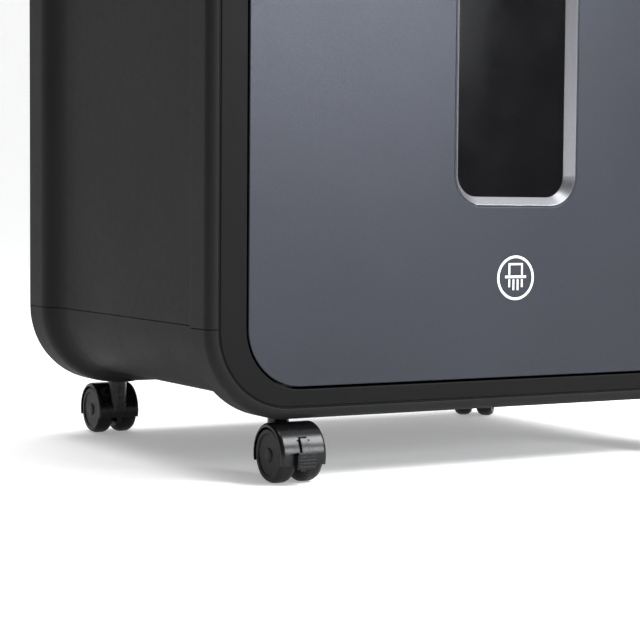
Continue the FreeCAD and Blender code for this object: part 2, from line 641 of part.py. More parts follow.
def plate_span(sign, past=0.0):
    """X span of the side plate on one side, run past both of its faces."""
    near, far = size("plate_x"), size("plate_x") + size("plate_thick")
    return (near - past, far + past) if sign > 0 else (-far - past, -near + past)


for side, sign in (("left", -1), ("right", 1)):
    name = f"cutter_plate_{side}"
    blank = box(name + "_blank", plate_span(sign), ("{plate_front}", "{plate_back}"),
                ("{plate_low}", "{plate_high}"))
    holes = [cylinder(f"{name}_roll_{index}", BUSHING_OUTER, plate_span(sign, REACH), "x", axis)
             for index, axis in enumerate((front_roll, rear_roll))]
    if sign > 0:
        holes.append(cylinder(name + "_motor", GEAR_SHAFT + 1, plate_span(sign, REACH), "x", motor_axis))
    node(name, cut(name, blank, *holes))

bushings = []
for side, sign in (("left", -1), ("right", 1)):
    for index, axis in enumerate((front_roll, rear_roll)):
        name = f"bushing_{side}_{index}"
        ring = cylinder(name + "_ring", BUSHING_OUTER, plate_span(sign), "x", axis)
        bore = cylinder(name + "_bore", "{journal_radius} + {running_gap}", plate_span(sign, REACH), "x", axis)
        bushings.append(cut(name, ring, bore))
node("shaft_bushings", group("shaft_bushings", *bushings))

ROD_PLACES = [(-42.0, 434.0), (-42.0, 532.0), (60.0, 532.0), (60.0, 434.0)]
rods = [cylinder(f"tie_rod_{index}", 4.0, ("-{plate_x}", "{plate_x}"), "x", place)
        for index, place in enumerate(ROD_PLACES)]
COVER_FAR = 166.0                  # outer face of the gearbox cover
COVER_WALL = 2.0
shaft_span = ("{plate_x} + {plate_thick}", COVER_FAR - COVER_WALL)
rods += [cylinder("gear_shaft_second", GEAR_SHAFT, shaft_span, "x", second_axis),
         cylinder("gear_shaft_first", GEAR_SHAFT, shaft_span, "x", first_axis)]
node("plate_rods", group("plate_rods", *rods))


# ---------------------------------------------------------------- cutter rolls
DISCS = int(size("disc_count"))
PITCH = size("disc_pitch")
CORE_END = size("plate_x") - 0.5
JOURNAL_END = 143.0                # past the gears on the ends of the rolls
JOURNAL_STUB = 129.5               # past the plate only
HOOKS = 8                          # cutting hooks round each disc
HOOK_DEEP, HOOK_WIDE = 3.2, 6.0


def hook_grooves(axis):
    """Long wedge grooves that leave a ring of cutting hooks on every disc of a roll."""
    tip, root = size("disc_radius") + 0.6, size("disc_radius") - HOOK_DEEP
    outline = [V(-CORE_END, tip, 0), V(-CORE_END, root, 0), V(-CORE_END, tip, HOOK_WIDE), V(-CORE_END, tip, 0)]
    wedge = Part.Face(Part.makePolygon(outline)).extrude(V(2 * CORE_END, 0, 0))
    grooves = []
    for index in range(HOOKS):
        groove = wedge.copy()
        groove.rotate(V(), V(1, 0, 0), 360.0 / HOOKS * index)
        groove.translate(V(0, *axis))
        grooves.append(groove)
    return Part.makeCompound(grooves)


for place, axis, shift, right_end in (("front", front_roll, -PITCH / 4, JOURNAL_STUB),
                                      ("rear", rear_roll, PITCH / 4, JOURNAL_END)):
    name = f"cutter_roll_{place}"
    core = cylinder(name + "_core", "{core_radius}", (-CORE_END, CORE_END), "x", axis)
    journal = cylinder(name + "_journal", "{journal_radius}", (-JOURNAL_END, right_end), "x", axis)
    discs = []
    for index in range(DISCS):
        middle = (index - (DISCS - 1) / 2) * PITCH + shift
        discs.append(cylinder(f"{name}_disc_{index}", "{disc_radius}",
                              (f"{middle} - {{disc_thick}} / 2", f"{middle} + {{disc_thick}} / 2"), "x", axis))
    blank = fuse(name + "_blank", core, journal, *discs)
    node(name, cut(name, blank, coded(name + "_grooves", hook_grooves(axis))))


# ---------------------------------------------------------------- stripper combs
COMB_NEAR, COMB_THICK, COMB_TALL = 24.0, 3.0, 40.0
FINGER_WIDE, FINGER_TALL = 3.0, 8.0


def make_comb(sign):
    """A bar beside a roll, with one finger in each groove of that roll."""
    axis_y = sign * ROLL_Y
    bar_near = axis_y + sign * COMB_NEAR
    bar_far = bar_near + sign * COMB_THICK
    bar_half = size("plate_x") - 0.2
    bar = Part.makeBox(2 * bar_half, COMB_THICK, COMB_TALL,
                       V(-bar_half, min(bar_near, bar_far), ROLL_Z - COMB_TALL / 2))
    shift = PITCH / 4 * sign
    reach = COMB_NEAR - size("core_radius") - 0.8
    fingers = []
    for index in range(DISCS - 1):
        middle = (index - (DISCS - 2) / 2) * PITCH + shift
        start = bar_near if sign < 0 else bar_near - reach
        fingers.append(Part.makeBox(FINGER_WIDE, reach, FINGER_TALL,
                                    V(middle - FINGER_WIDE / 2, start, ROLL_Z - FINGER_TALL / 2)))
    return bar.fuse(fingers).removeSplitter()


node("stripper_combs", group("stripper_combs", coded("comb_front", make_comb(-1)),
                             coded("comb_rear", make_comb(1))))


# ---------------------------------------------------------------- gears
PRESSURE = math.radians(20)
ADDENDUM, DEDENDUM, BACKLASH = 0.8, 1.25, 0.16


def gear_blank(teeth, module, phase, centre, x_low, x_high, bore):
    """A spur gear about X with involute flanks and one tooth centred at phase degrees."""
    teeth = int(teeth)
    pitch = module * teeth / 2
    base = pitch * math.cos(PRESSURE)
    root, tip = pitch - DEDENDUM * module, pitch + ADDENDUM * module
    half = (math.pi / 2 - BACKLASH) / teeth
    inv_pitch = math.tan(PRESSURE) - PRESSURE

    def flank(radius):
        if radius <= base:
            return half + inv_pitch
        alpha = math.acos(base / radius)
        return half + inv_pitch - (math.tan(alpha) - alpha)

    low = max(root, base)
    radii = [root] + [low + (tip - low) * step / 4 for step in range(5)]
    points = []
    for tooth in range(teeth):
        middle = math.radians(phase) + 2 * math.pi * tooth / teeth
        outline = [(r, -flank(r)) for r in radii] + [(r, flank(r)) for r in reversed(radii)]
        for r, a in outline:
            point = V(x_low, centre[0] + r * math.cos(middle + a), centre[1] + r * math.sin(middle + a))
            if not points or (point - points[-1]).Length > 1e-4:
                points.append(point)
    points.append(points[0])
    blank = Part.Face(Part.makePolygon(points)).extrude(V(x_high - x_low, 0, 0))
    return blank.cut(Part.makeCylinder(bore, x_high - x_low + 2, V(x_low - 1, *centre), V(1, 0, 0)))


def facing(start, end):
    return math.degrees(math.atan2(end[1] - start[1], end[0] - start[0]))


def meshing(partner_angle, teeth):
    """Phase that turns a tooth gap towards the partner."""
    return partner_angle + 180.0 / teeth


JOURNAL = size("journal_radius")
SYNC_SPAN = (-141.0, -131.0)
DRIVE_SPAN = (131.0, 141.0)
SECOND_SPAN = (144.0, 151.0)
FIRST_SPAN = (154.0, 160.0)
SHAFT_BORE = GEAR_SHAFT + size("running_gap")

node("sync_gear_front", coded("sync_gear_front", gear_blank(
     size("sync_teeth"), size("sync_module"), facing(front_roll, rear_roll),
     front_roll, *SYNC_SPAN, JOURNAL)))
node("sync_gear_rear", coded("sync_gear_rear", gear_blank(
     size("sync_teeth"), size("sync_module"),
     meshing(facing(rear_roll, front_roll), size("sync_teeth")), rear_roll, *SYNC_SPAN, JOURNAL)))
node("drive_gear", coded("drive_gear", gear_blank(
     size("drive_teeth"), size("drive_module"), facing(rear_roll, second_axis),
     rear_roll, *DRIVE_SPAN, JOURNAL)))


def compound_gear(name, centre, small, large):
    """Two gears on one hub; each is (teeth, module, phase, span)."""
    pieces = [gear_blank(*spec[:3], centre, *spec[3], SHAFT_BORE) for spec in (small, large)]
    gap = sorted((small[3], large[3]))
    hub = Part.makeCylinder(GEAR_SHAFT + 2.2, gap[1][0] - gap[0][1], V(gap[0][1], *centre), V(1, 0, 0))
    hub = hub.cut(Part.makeCylinder(SHAFT_BORE, 60, V(gap[0][1] - 20, *centre), V(1, 0, 0)))
    return node(name, coded(name, pieces[0].fuse([pieces[1], hub]).removeSplitter()))


compound_gear("second_gear", second_axis,
              (size("drive_pinion"), size("drive_module"),
               meshing(facing(second_axis, rear_roll), size("drive_pinion")), DRIVE_SPAN),
              (size("second_teeth"), size("second_module"), facing(second_axis, first_axis), SECOND_SPAN))
compound_gear("first_gear", first_axis,
              (size("second_pinion"), size("second_module"),
               meshing(facing(first_axis, second_axis), size("second_pinion")), SECOND_SPAN),
              (size("first_teeth"), size("first_module"), facing(first_axis, motor_axis), FIRST_SPAN))


# ---------------------------------------------------------------- motor and gearbox cover
CAN_SPAN = (20.0, size("plate_x") - 0.1)
CAN_WALL, CAN_END = 3.0, 4.0
can = cylinder("motor_can_outer", "{motor_radius}", CAN_SPAN, "x", motor_axis)
can_room = cylinder("motor_can_room", size("motor_radius") - CAN_WALL,
                    (CAN_SPAN[0] + CAN_END, CAN_SPAN[1] - CAN_END), "x", motor_axis)
can_bore = cylinder("motor_can_bore", SHAFT_BORE, (CAN_SPAN[0] - REACH, CAN_SPAN[1] + REACH),
                    "x", motor_axis)
node("motor_can", cut("motor_can", can, can_room, can_bore))



def turned(radius, x_low, x_high, axis):
    """A cylinder about a gear axis."""
    return Part.makeCylinder(radius, x_high - x_low, V(x_low, *axis), V(1, 0, 0))


FAN_END = 6.0
rotor_shaft = turned(GEAR_SHAFT, FAN_END, FIRST_SPAN[1], motor_axis)
armature = turned(21.0, 40.0, 102.0, motor_axis)
commutator = turned(10.0, 28.0, 37.0, motor_axis)
fan_hub = turned(9.0, FAN_END, FAN_END + 10.0, motor_axis)
FAN_BLADES = 7
blades = []
for index in range(FAN_BLADES):
    blade = Part.makeBox(8.0, 18.0, 1.6, V(7, motor_axis[0] + 7, motor_axis[1] - 0.8))
    blade.rotate(V(0, *motor_axis), V(1, 0, 0), 360.0 / FAN_BLADES * index)
    blades.append(blade)
pinion = gear_blank(size("motor_teeth"), size("first_module"),
                    meshing(facing(motor_axis, first_axis), size("motor_teeth")),
                    motor_axis, *FIRST_SPAN, 1.0)
rotor = rotor_shaft.fuse([armature, commutator, fan_hub, pinion] + blades).removeSplitter()
node("motor_rotor", coded("motor_rotor", rotor))

COVER_FRONT, COVER_LOW, COVER_HIGH = -20.0, 440.0, 532.0
cover_outer = box("gearbox_outer", ("{plate_x} + {plate_thick}", COVER_FAR), (COVER_FRONT, "{plate_back}"),
                  (COVER_LOW, COVER_HIGH))
cover_room = box("gearbox_room", ("{plate_x} + {plate_thick} - 1", COVER_FAR - COVER_WALL),
                 (COVER_FRONT + COVER_WALL, size("plate_back") - COVER_WALL),
                 (COVER_LOW + COVER_WALL, COVER_HIGH - COVER_WALL))
cover_notch = cylinder("gearbox_notch", 12.0, ("{plate_x}", COVER_FAR - COVER_WALL), "x", front_roll)
node("gearbox_cover", cut("gearbox_cover", cover_outer, cover_room, cover_notch))


# ---------------------------------------------------------------- control fascia and buttons
BUTTON_Z = size("button_z")
BUTTON_XS = {"reverse": -size("button_pitch"), "power": 0.0, "forward": size("button_pitch")}
BUTTON_R = size("button_radius")
STRIP_HALF, STRIP_TALL = 40.0, 8.0


def make_fascia():
    high = OPEN_HIGH - size("panel_gap")
    full = slab(PANEL_HALF, PANEL_HIGH - 60, high, size("panel_radius"), PANEL_Y, PANEL_BACK)
    below = Part.makeBox(VAST, 40, VAST, V(-VAST / 2, PANEL_Y - 5, PANEL_HIGH + size("panel_gap") - VAST))
    fascia = full.cut(below)
    fascia = fascia.makeFillet(PANEL_EDGE, edges_at_depth(fascia, PANEL_Y))
    holes = [Part.makeCylinder(BUTTON_R + CLEAR, 20, V(x, PANEL_Y - 5, BUTTON_Z), V(0, 1, 0))
             for x in BUTTON_XS.values()]
    strip = slab(STRIP_HALF, size("lens_z") - STRIP_TALL / 2, size("lens_z") + STRIP_TALL / 2,
                 STRIP_TALL / 2 - 0.2, PANEL_Y - REACH, PANEL_BACK + REACH)
    flange_y = FRONT + 15.2
    flange = slab(OPEN_HALF + 4, PANEL_HIGH + 2, OPEN_HIGH + 4, OPEN_RADIUS, flange_y, flange_y + 2)
    flange = flange.cut(slab(OPEN_HALF - 8, PANEL_HIGH - 40, OPEN_HIGH - 8, OPEN_RADIUS - 8,
                             flange_y - REACH, flange_y + 2 + REACH))
    posts = [Part.makeBox(6, flange_y - PANEL_BACK, 30, V(x - 3, PANEL_BACK, 480))
             for x in (-176.0, 176.0)]
    return fascia.cut(holes + [strip]).fuse([flange] + posts).removeSplitter()


node("control_fascia", coded("control_fascia", make_fascia()))
node("indicator_lens", coded("indicator_lens", slab(
     STRIP_HALF, size("lens_z") - STRIP_TALL / 2, size("lens_z") + STRIP_TALL / 2, STRIP_TALL / 2 - 0.2,
     PANEL_Y + 0.2, PANEL_BACK)))

BUTTON_FACE = PANEL_Y - 0.9
BUTTON_BACK = PANEL_BACK + 3.2
BUTTON_FLANGE = BUTTON_R + 1.6
for name, x in BUTTON_XS.items():
    full = f"button_{name}"
    body, sketch = body_with_sketch(full, "XY_Plane")
    closed_outline(sketch, [(0, BUTTON_FACE + 0.35), (BUTTON_R - 0.8, BUTTON_FACE),
                            (BUTTON_R, BUTTON_FACE + 0.8), (BUTTON_R, PANEL_BACK + 0.2),
                            (BUTTON_FLANGE, PANEL_BACK + 0.2),
                            (BUTTON_FLANGE, BUTTON_BACK), (0, BUTTON_BACK)])
    turn = body.newObject("PartDesign::Revolution", full + "_turn")
    turn.Profile = sketch
    turn.ReferenceAxis = (sketch, ["V_Axis"])
    turn.Angle = 360
    body.Tip = turn
    body.Placement = FreeCAD.Placement(V(x, 0, BUTTON_Z), FreeCAD.Rotation())
    node(full, body)

SWITCH_Y = BUTTON_BACK + size("button_travel") + 0.2
BOARD_Y = SWITCH_Y + 1.8
board = box("board_sheet", (-60, 60), (BOARD_Y, BOARD_Y + 1.6), (470, 540))
switches = [box(f"tact_{name}", (x - 3, x + 3), (SWITCH_Y, BOARD_Y), (BUTTON_Z - 3, BUTTON_Z + 3))
            for name, x in BUTTON_XS.items()]
board_posts = [box(f"board_stud_{index}", (x - 2, x + 2), (PANEL_BACK, BOARD_Y), (z - 2, z + 2))
               for index, (x, z) in enumerate(((-52, 476), (52, 476), (-52, 534), (52, 534)))]
node("control_board", fuse("control_board", board, *switches, *board_posts))


# ---------------------------------------------------------------- paper sensor lever
sensor_hub = Part.makeCylinder(2.6, 4.0, V(-2, *SENSOR_PIVOT), V(1, 0, 0))
sensor_pin = Part.makeCylinder(SENSOR_PIN, 12.0, V(-6, *SENSOR_PIVOT), V(1, 0, 0))
sensor_arm = Part.Face(Part.makePolygon([V(-2, 11, 558.3), V(-2, -3, 545.8), V(-2, -2.6, 543.2),
                                         V(-2, 0, 543.2), V(-2, 13, 553.6), V(-2, 11, 558.3)]))
sensor = sensor_arm.extrude(V(4, 0, 0)).fuse([sensor_hub, sensor_pin]).removeSplitter()
node("sensor_lever", coded("sensor_lever", sensor))


# ---------------------------------------------------------------- bin interlock
plunger = fuse("interlock_plunger",
               cylinder("plunger_stem", PLUNGER_R, ("{bin_high} + 0.3", TRAY_TOP + 14), "z",
                        (PLUNGER_X, PLUNGER_Y)),
               cylinder("plunger_collar", 5.0, (TRAY_TOP + 5, TRAY_TOP + 7), "z", (PLUNGER_X, PLUNGER_Y)))
node("interlock_plunger", plunger)
switch_case = box("switch_case", (PLUNGER_X - 12, PLUNGER_X + 12), (PLUNGER_Y - 8, PLUNGER_Y + 8),
                  (TRAY_TOP, TRAY_TOP + 18))
switch_room = cylinder("switch_room", 5.3, (TRAY_TOP - 1, TRAY_TOP + 15), "z", (PLUNGER_X, PLUNGER_Y))
node("interlock_switch", cut("interlock_switch", switch_case, switch_room))


# ---------------------------------------------------------------- mains inlet and rocker switch
ROCKER_Z = size("rocker_z")
FLANGE = 2.2
inlet_body = box("inlet_body", (INLET_X - 17.2, INLET_X + 17.2), (BACK - 26, BACK),
                 (INLET_Z - 19.8, INLET_Z + 54.8))
inlet_flange = box("inlet_flange", (INLET_X - 20, INLET_X + 20), (BACK, BACK + FLANGE),
                   (INLET_Z - 23, INLET_Z + 58))
inlet_socket = box("inlet_socket", (INLET_X - 12.2, INLET_X + 12.2), (BACK + FLANGE - 17, BACK + 5),
                   (INLET_Z - 8.4, INLET_Z + 8.4))
rocker_room = box("rocker_room", (INLET_X - 6.8, INLET_X + 6.8), (BACK - 14, BACK + 5),
                  (ROCKER_Z - 11.3, ROCKER_Z + 11.3))
ROCKER_Y = BACK - 4.0
TRUNNION_R, TRUNNION_REACH = 1.5, 7.8
trunnion_bore = cylinder("rocker_bore", TRUNNION_R + size("running_gap"),
                         (INLET_X - TRUNNION_REACH - 0.2, INLET_X + TRUNNION_REACH + 0.2), "x",
                         (ROCKER_Y, ROCKER_Z))
node("power_inlet", cut("power_inlet", fuse("inlet_moulding", inlet_body, inlet_flange),
                        inlet_socket, rocker_room, trunnion_bore))
pins = [box(f"inlet_pin_{index}", (INLET_X + dx - 1, INLET_X + dx + 1), (BACK + FLANGE - 17, BACK - 1),
            (INLET_Z + dz - 2, INLET_Z + dz + 2))
        for index, (dx, dz) in enumerate(((-7.0, -2.0), (0.0, 2.5), (7.0, -2.0)))]
node("inlet_pins", group("inlet_pins", *pins))

ROCKER_HALF = 6.4
ROCKER_TILT = 8.0
rocker_outline = [(5.5, -10.0), (4.2, 0.0), (5.5, 10.0), (-1.0, 10.0), (-6.0, 5.0), (-6.0, -5.0),
                  (-1.0, -10.0), (5.5, -10.0)]
rocker_face = Part.Face(Part.makePolygon([V(INLET_X - ROCKER_HALF, ROCKER_Y + y, ROCKER_Z + z)
                                          for y, z in rocker_outline]))
rocker = rocker_face.extrude(V(2 * ROCKER_HALF, 0, 0))
rocker = rocker.fuse(turned(TRUNNION_R, INLET_X - TRUNNION_REACH, INLET_X + TRUNNION_REACH,
                            (ROCKER_Y, ROCKER_Z))).removeSplitter()
rocker.rotate(V(0, ROCKER_Y, ROCKER_Z), V(1, 0, 0), -ROCKER_TILT)
node("rocker_key", coded("rocker_key", rocker))


# ---------------------------------------------------------------- casters
TRAIL = size("trail")
WHEEL_R = size("wheel_radius")
HOOD_R = size("hood_radius")
HOOD_HALF = size("hood_half")
HOOD_ROOM = HOOD_R - size("hood_wall")
HOOD_SHOULDER = 2.2                  # round along both outer edges of the hood
HOOD_LIP = 1.1                       # how far those edges turn in over the wheels
WEB_HALF = 1.6
AXLE = V(0, -TRAIL, WHEEL_R)         # the caster's own frame: stem on Z, wheels towards -Y
PEDAL_ANGLE = 31.0
PEDAL_PIVOT_R = HOOD_ROOM + 0.65
PEDAL_PIN = 0.6


def across(radius, x_low, x_high, centre=AXLE):
    return Part.makeCylinder(radius, x_high - x_low, V(x_low, centre.y, centre.z), V(1, 0, 0))


def round_axle(radius, angle):
    """Point in front of the axle at an angle in degrees above the horizontal."""
    lift = math.radians(angle)
    return V(0, AXLE.y - radius * math.cos(lift), AXLE.z + radius * math.sin(lift))


def sector(near, far, low, high, half):
    """Piece of a ring about the axle, centred on x = 0."""
    middle = (low + high) / 2
    edges = [Part.Arc(round_axle(near, low), round_axle(near, middle), round_axle(near, high)),
             Part.LineSegment(round_axle(near, high), round_axle(far, high)),
             Part.Arc(round_axle(far, high), round_axle(far, middle), round_axle(far, low)),
             Part.LineSegment(round_axle(far, low), round_axle(near, low))]
    face = Part.Face(Part.Wire([edge.toShape() for edge in edges]))
    face.translate(V(-half, 0, 0))
    return face.extrude(V(2 * half, 0, 0))


PEDAL_PIVOT = round_axle(PEDAL_PIVOT_R, PEDAL_ANGLE)


def make_hood(braked):
    shell = across(HOOD_R, -HOOD_HALF, HOOD_HALF)
    shell = shell.makeFillet(HOOD_SHOULDER, [edge for edge in shell.Edges if edge.BoundBox.XLength < 1e-6])
    collar = Part.makeCylinder(size("collar_radius"), LOW - CLEAR - WHEEL_R, V(0, 0, WHEEL_R))
    hood = shell.fuse(collar)
    tools = []
    for sign in (-1, 1):
        low, high = sorted((sign * WEB_HALF, sign * (HOOD_HALF + REACH)))
        tools.append(across(HOOD_ROOM - HOOD_LIP, low, high))
        tools.append(across(HOOD_ROOM, *sorted((sign * WEB_HALF, sign * (HOOD_HALF - HOOD_LIP)))))
        tools.append(Part.makeBox(high - low, 60, size("hood_cut") + 10, V(low, -50, -10)))
    tools.append(Part.makeBox(2 * WEB_HALF + 1, 60, 18, V(-WEB_HALF - 0.5, -50, -10)))
    tools.append(across(size("axle_radius"), -5, 5))
    tools.append(column(size("stem_radius"), 0, 0, STEM_LOW, 40))
    if braked:
        tools.append(Part.makeBox(5.2, 6, 3.9, V(-2.6, PEDAL_PIVOT.y - 4, 23.4)))
        tools.append(across(PEDAL_PIN + size("running_gap"), -4, 4, PEDAL_PIVOT))
    return hood.cut(tools).removeSplitter()


def make_wheel(sign):
    """Crowned wheel: flat tread in the middle, rounded to both faces, dished outer face."""
    near, far = size("wheel_near"), size("wheel_far")
    bore = size("axle_radius") + size("running_gap")
    flat_low, flat_high = 7.0, 10.0
    near_r, far_r = 12.4, 14.4

    def shoulder(flat_x, edge_x, edge_r):
        drop, run = WHEEL_R - edge_r, edge_x - flat_x
        bend = (run ** 2 + drop ** 2) / (2 * drop)
        half = math.asin(abs(run) / bend) / 2
        along_x = math.copysign(bend * math.sin(half), run)
        return V(flat_x + along_x, WHEEL_R - bend * (1 - math.cos(half)), 0)

    dish_r, dish, hub_r = 12.2, 0.7, 3.6
    points = {"near_low": V(near, bore, 0), "near_edge": V(near, near_r, 0),
              "flat_low": V(flat_low, WHEEL_R, 0), "flat_high": V(flat_high, WHEEL_R, 0),
              "far_edge": V(far, far_r, 0), "ring": V(far, dish_r, 0),
              "dish_out": V(far - dish, dish_r - dish, 0), "dish_in": V(far - dish, hub_r + dish, 0),
              "hub": V(far, hub_r, 0), "far_low": V(far, bore, 0)}
    outline = [Part.LineSegment(points["near_low"], points["near_edge"]),
               Part.Arc(points["near_edge"], shoulder(flat_low, near, near_r), points["flat_low"]),
               Part.LineSegment(points["flat_low"], points["flat_high"]),
               Part.Arc(points["flat_high"], shoulder(flat_high, far, far_r), points["far_edge"])]
    rest = ["far_edge", "ring", "dish_out", "dish_in", "hub", "far_low", "near_low"]
    outline += [Part.LineSegment(points[a], points[b]) for a, b in zip(rest, rest[1:])]
    face = Part.Face(Part.Wire([edge.toShape() for edge in outline]))
    face.translate(AXLE)
    wheel = face.revolve(AXLE, V(1, 0, 0), 360)
    return wheel if sign > 0 else wheel.mirror(V(), V(1, 0, 0))


def make_brake_lever():
    tongue = sector(HOOD_R + 0.25, HOOD_R + 1.5, 6.0, 31.0, 2.3)
    heel = sector(HOOD_R - 0.4, HOOD_R + 1.5, 29.0, 33.0, 2.3)
    hub = across(1.0, -2.3, 2.3, PEDAL_PIVOT)
    pin = across(PEDAL_PIN, -3.6, 3.6, PEDAL_PIVOT)
    pedal = sector(HOOD_R + 0.3, HOOD_R + 3.2, -17.0, 8.0, 6.0)
    ledge = sector(HOOD_R + 0.3, HOOD_R + 4.2, 5.0, 9.0, 6.0)
    return tongue.fuse([heel, hub, pin, pedal, ledge]).removeSplitter()


STEM_LOW = 30.2
for place, (x, y, turn) in CASTERS.items():
    braked = place.startswith("front")
    spot = FreeCAD.Placement(V(x, y, 0), FreeCAD.Rotation(V(0, 0, 1), turn))
    stem = column(size("stem_radius"), 0, 0, STEM_LOW, size("stem_top"))
    stem = stem.makeFillet(1.0, [edge for edge in stem.Edges
                                 if abs(edge.BoundBox.ZMin - size("stem_top")) < 1e-6])
    axle = across(size("axle_radius"), -13.3, 13.3)
    pieces = {"hood": make_hood(braked), "pins": Part.makeCompound([stem, axle]),
              "wheel_left": make_wheel(-1), "wheel_right": make_wheel(1)}
    if braked:
        pieces["brake"] = make_brake_lever()
    for piece, shape in pieces.items():
        obj = coded(f"caster_{place}_{piece}", shape)
        obj.Placement = spot
        node(f"caster_{place}_{piece}", obj)


# ---------------------------------------------------------------- checks and files
doc.recompute()
for obj in doc.Objects:
    if "Invalid" in obj.State or "Error" in obj.State:
        raise RuntimeError(f"{obj.Name} is {obj.State}")
for name, obj in nodes.items():
    shape = obj.Shape
    if shape.isNull() or not shape.isValid() or shape.Volume <= 0:
        raise RuntimeError(f"{name} has no sound shape")
    if obj.Label != name:
        raise RuntimeError(f"{name} is labelled {obj.Label}")

os.makedirs("parts", exist_ok=True)
for name, obj in nodes.items():
    obj.Shape.exportStep(f"parts/{name}.step")

print(len(nodes), "nodes")
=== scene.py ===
"""Looks for the pull-out-bin paper shredder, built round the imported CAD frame, in metres."""

import bpy
import bmesh
import json
import math
from mathutils import Matrix, Vector


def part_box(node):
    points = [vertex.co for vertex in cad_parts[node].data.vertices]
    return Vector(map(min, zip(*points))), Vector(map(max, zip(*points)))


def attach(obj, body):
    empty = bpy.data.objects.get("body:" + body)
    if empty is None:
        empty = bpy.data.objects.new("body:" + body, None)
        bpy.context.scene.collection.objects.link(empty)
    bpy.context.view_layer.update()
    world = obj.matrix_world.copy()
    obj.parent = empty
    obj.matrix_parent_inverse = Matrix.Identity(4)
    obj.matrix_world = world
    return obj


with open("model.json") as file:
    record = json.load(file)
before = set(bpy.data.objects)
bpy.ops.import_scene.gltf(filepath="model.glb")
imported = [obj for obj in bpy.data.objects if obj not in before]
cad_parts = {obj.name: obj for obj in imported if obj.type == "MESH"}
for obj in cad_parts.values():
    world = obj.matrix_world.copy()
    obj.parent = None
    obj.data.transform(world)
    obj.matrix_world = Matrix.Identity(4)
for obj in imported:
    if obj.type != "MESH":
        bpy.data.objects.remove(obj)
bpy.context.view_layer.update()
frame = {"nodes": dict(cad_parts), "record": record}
nodes = frame["nodes"]

MM = 0.001


def tinted(color, factor, lift=0.0):
    """A colour made lighter or darker, and kept within white."""
    return tuple(min(1.0, c * factor + lift) for c in color)


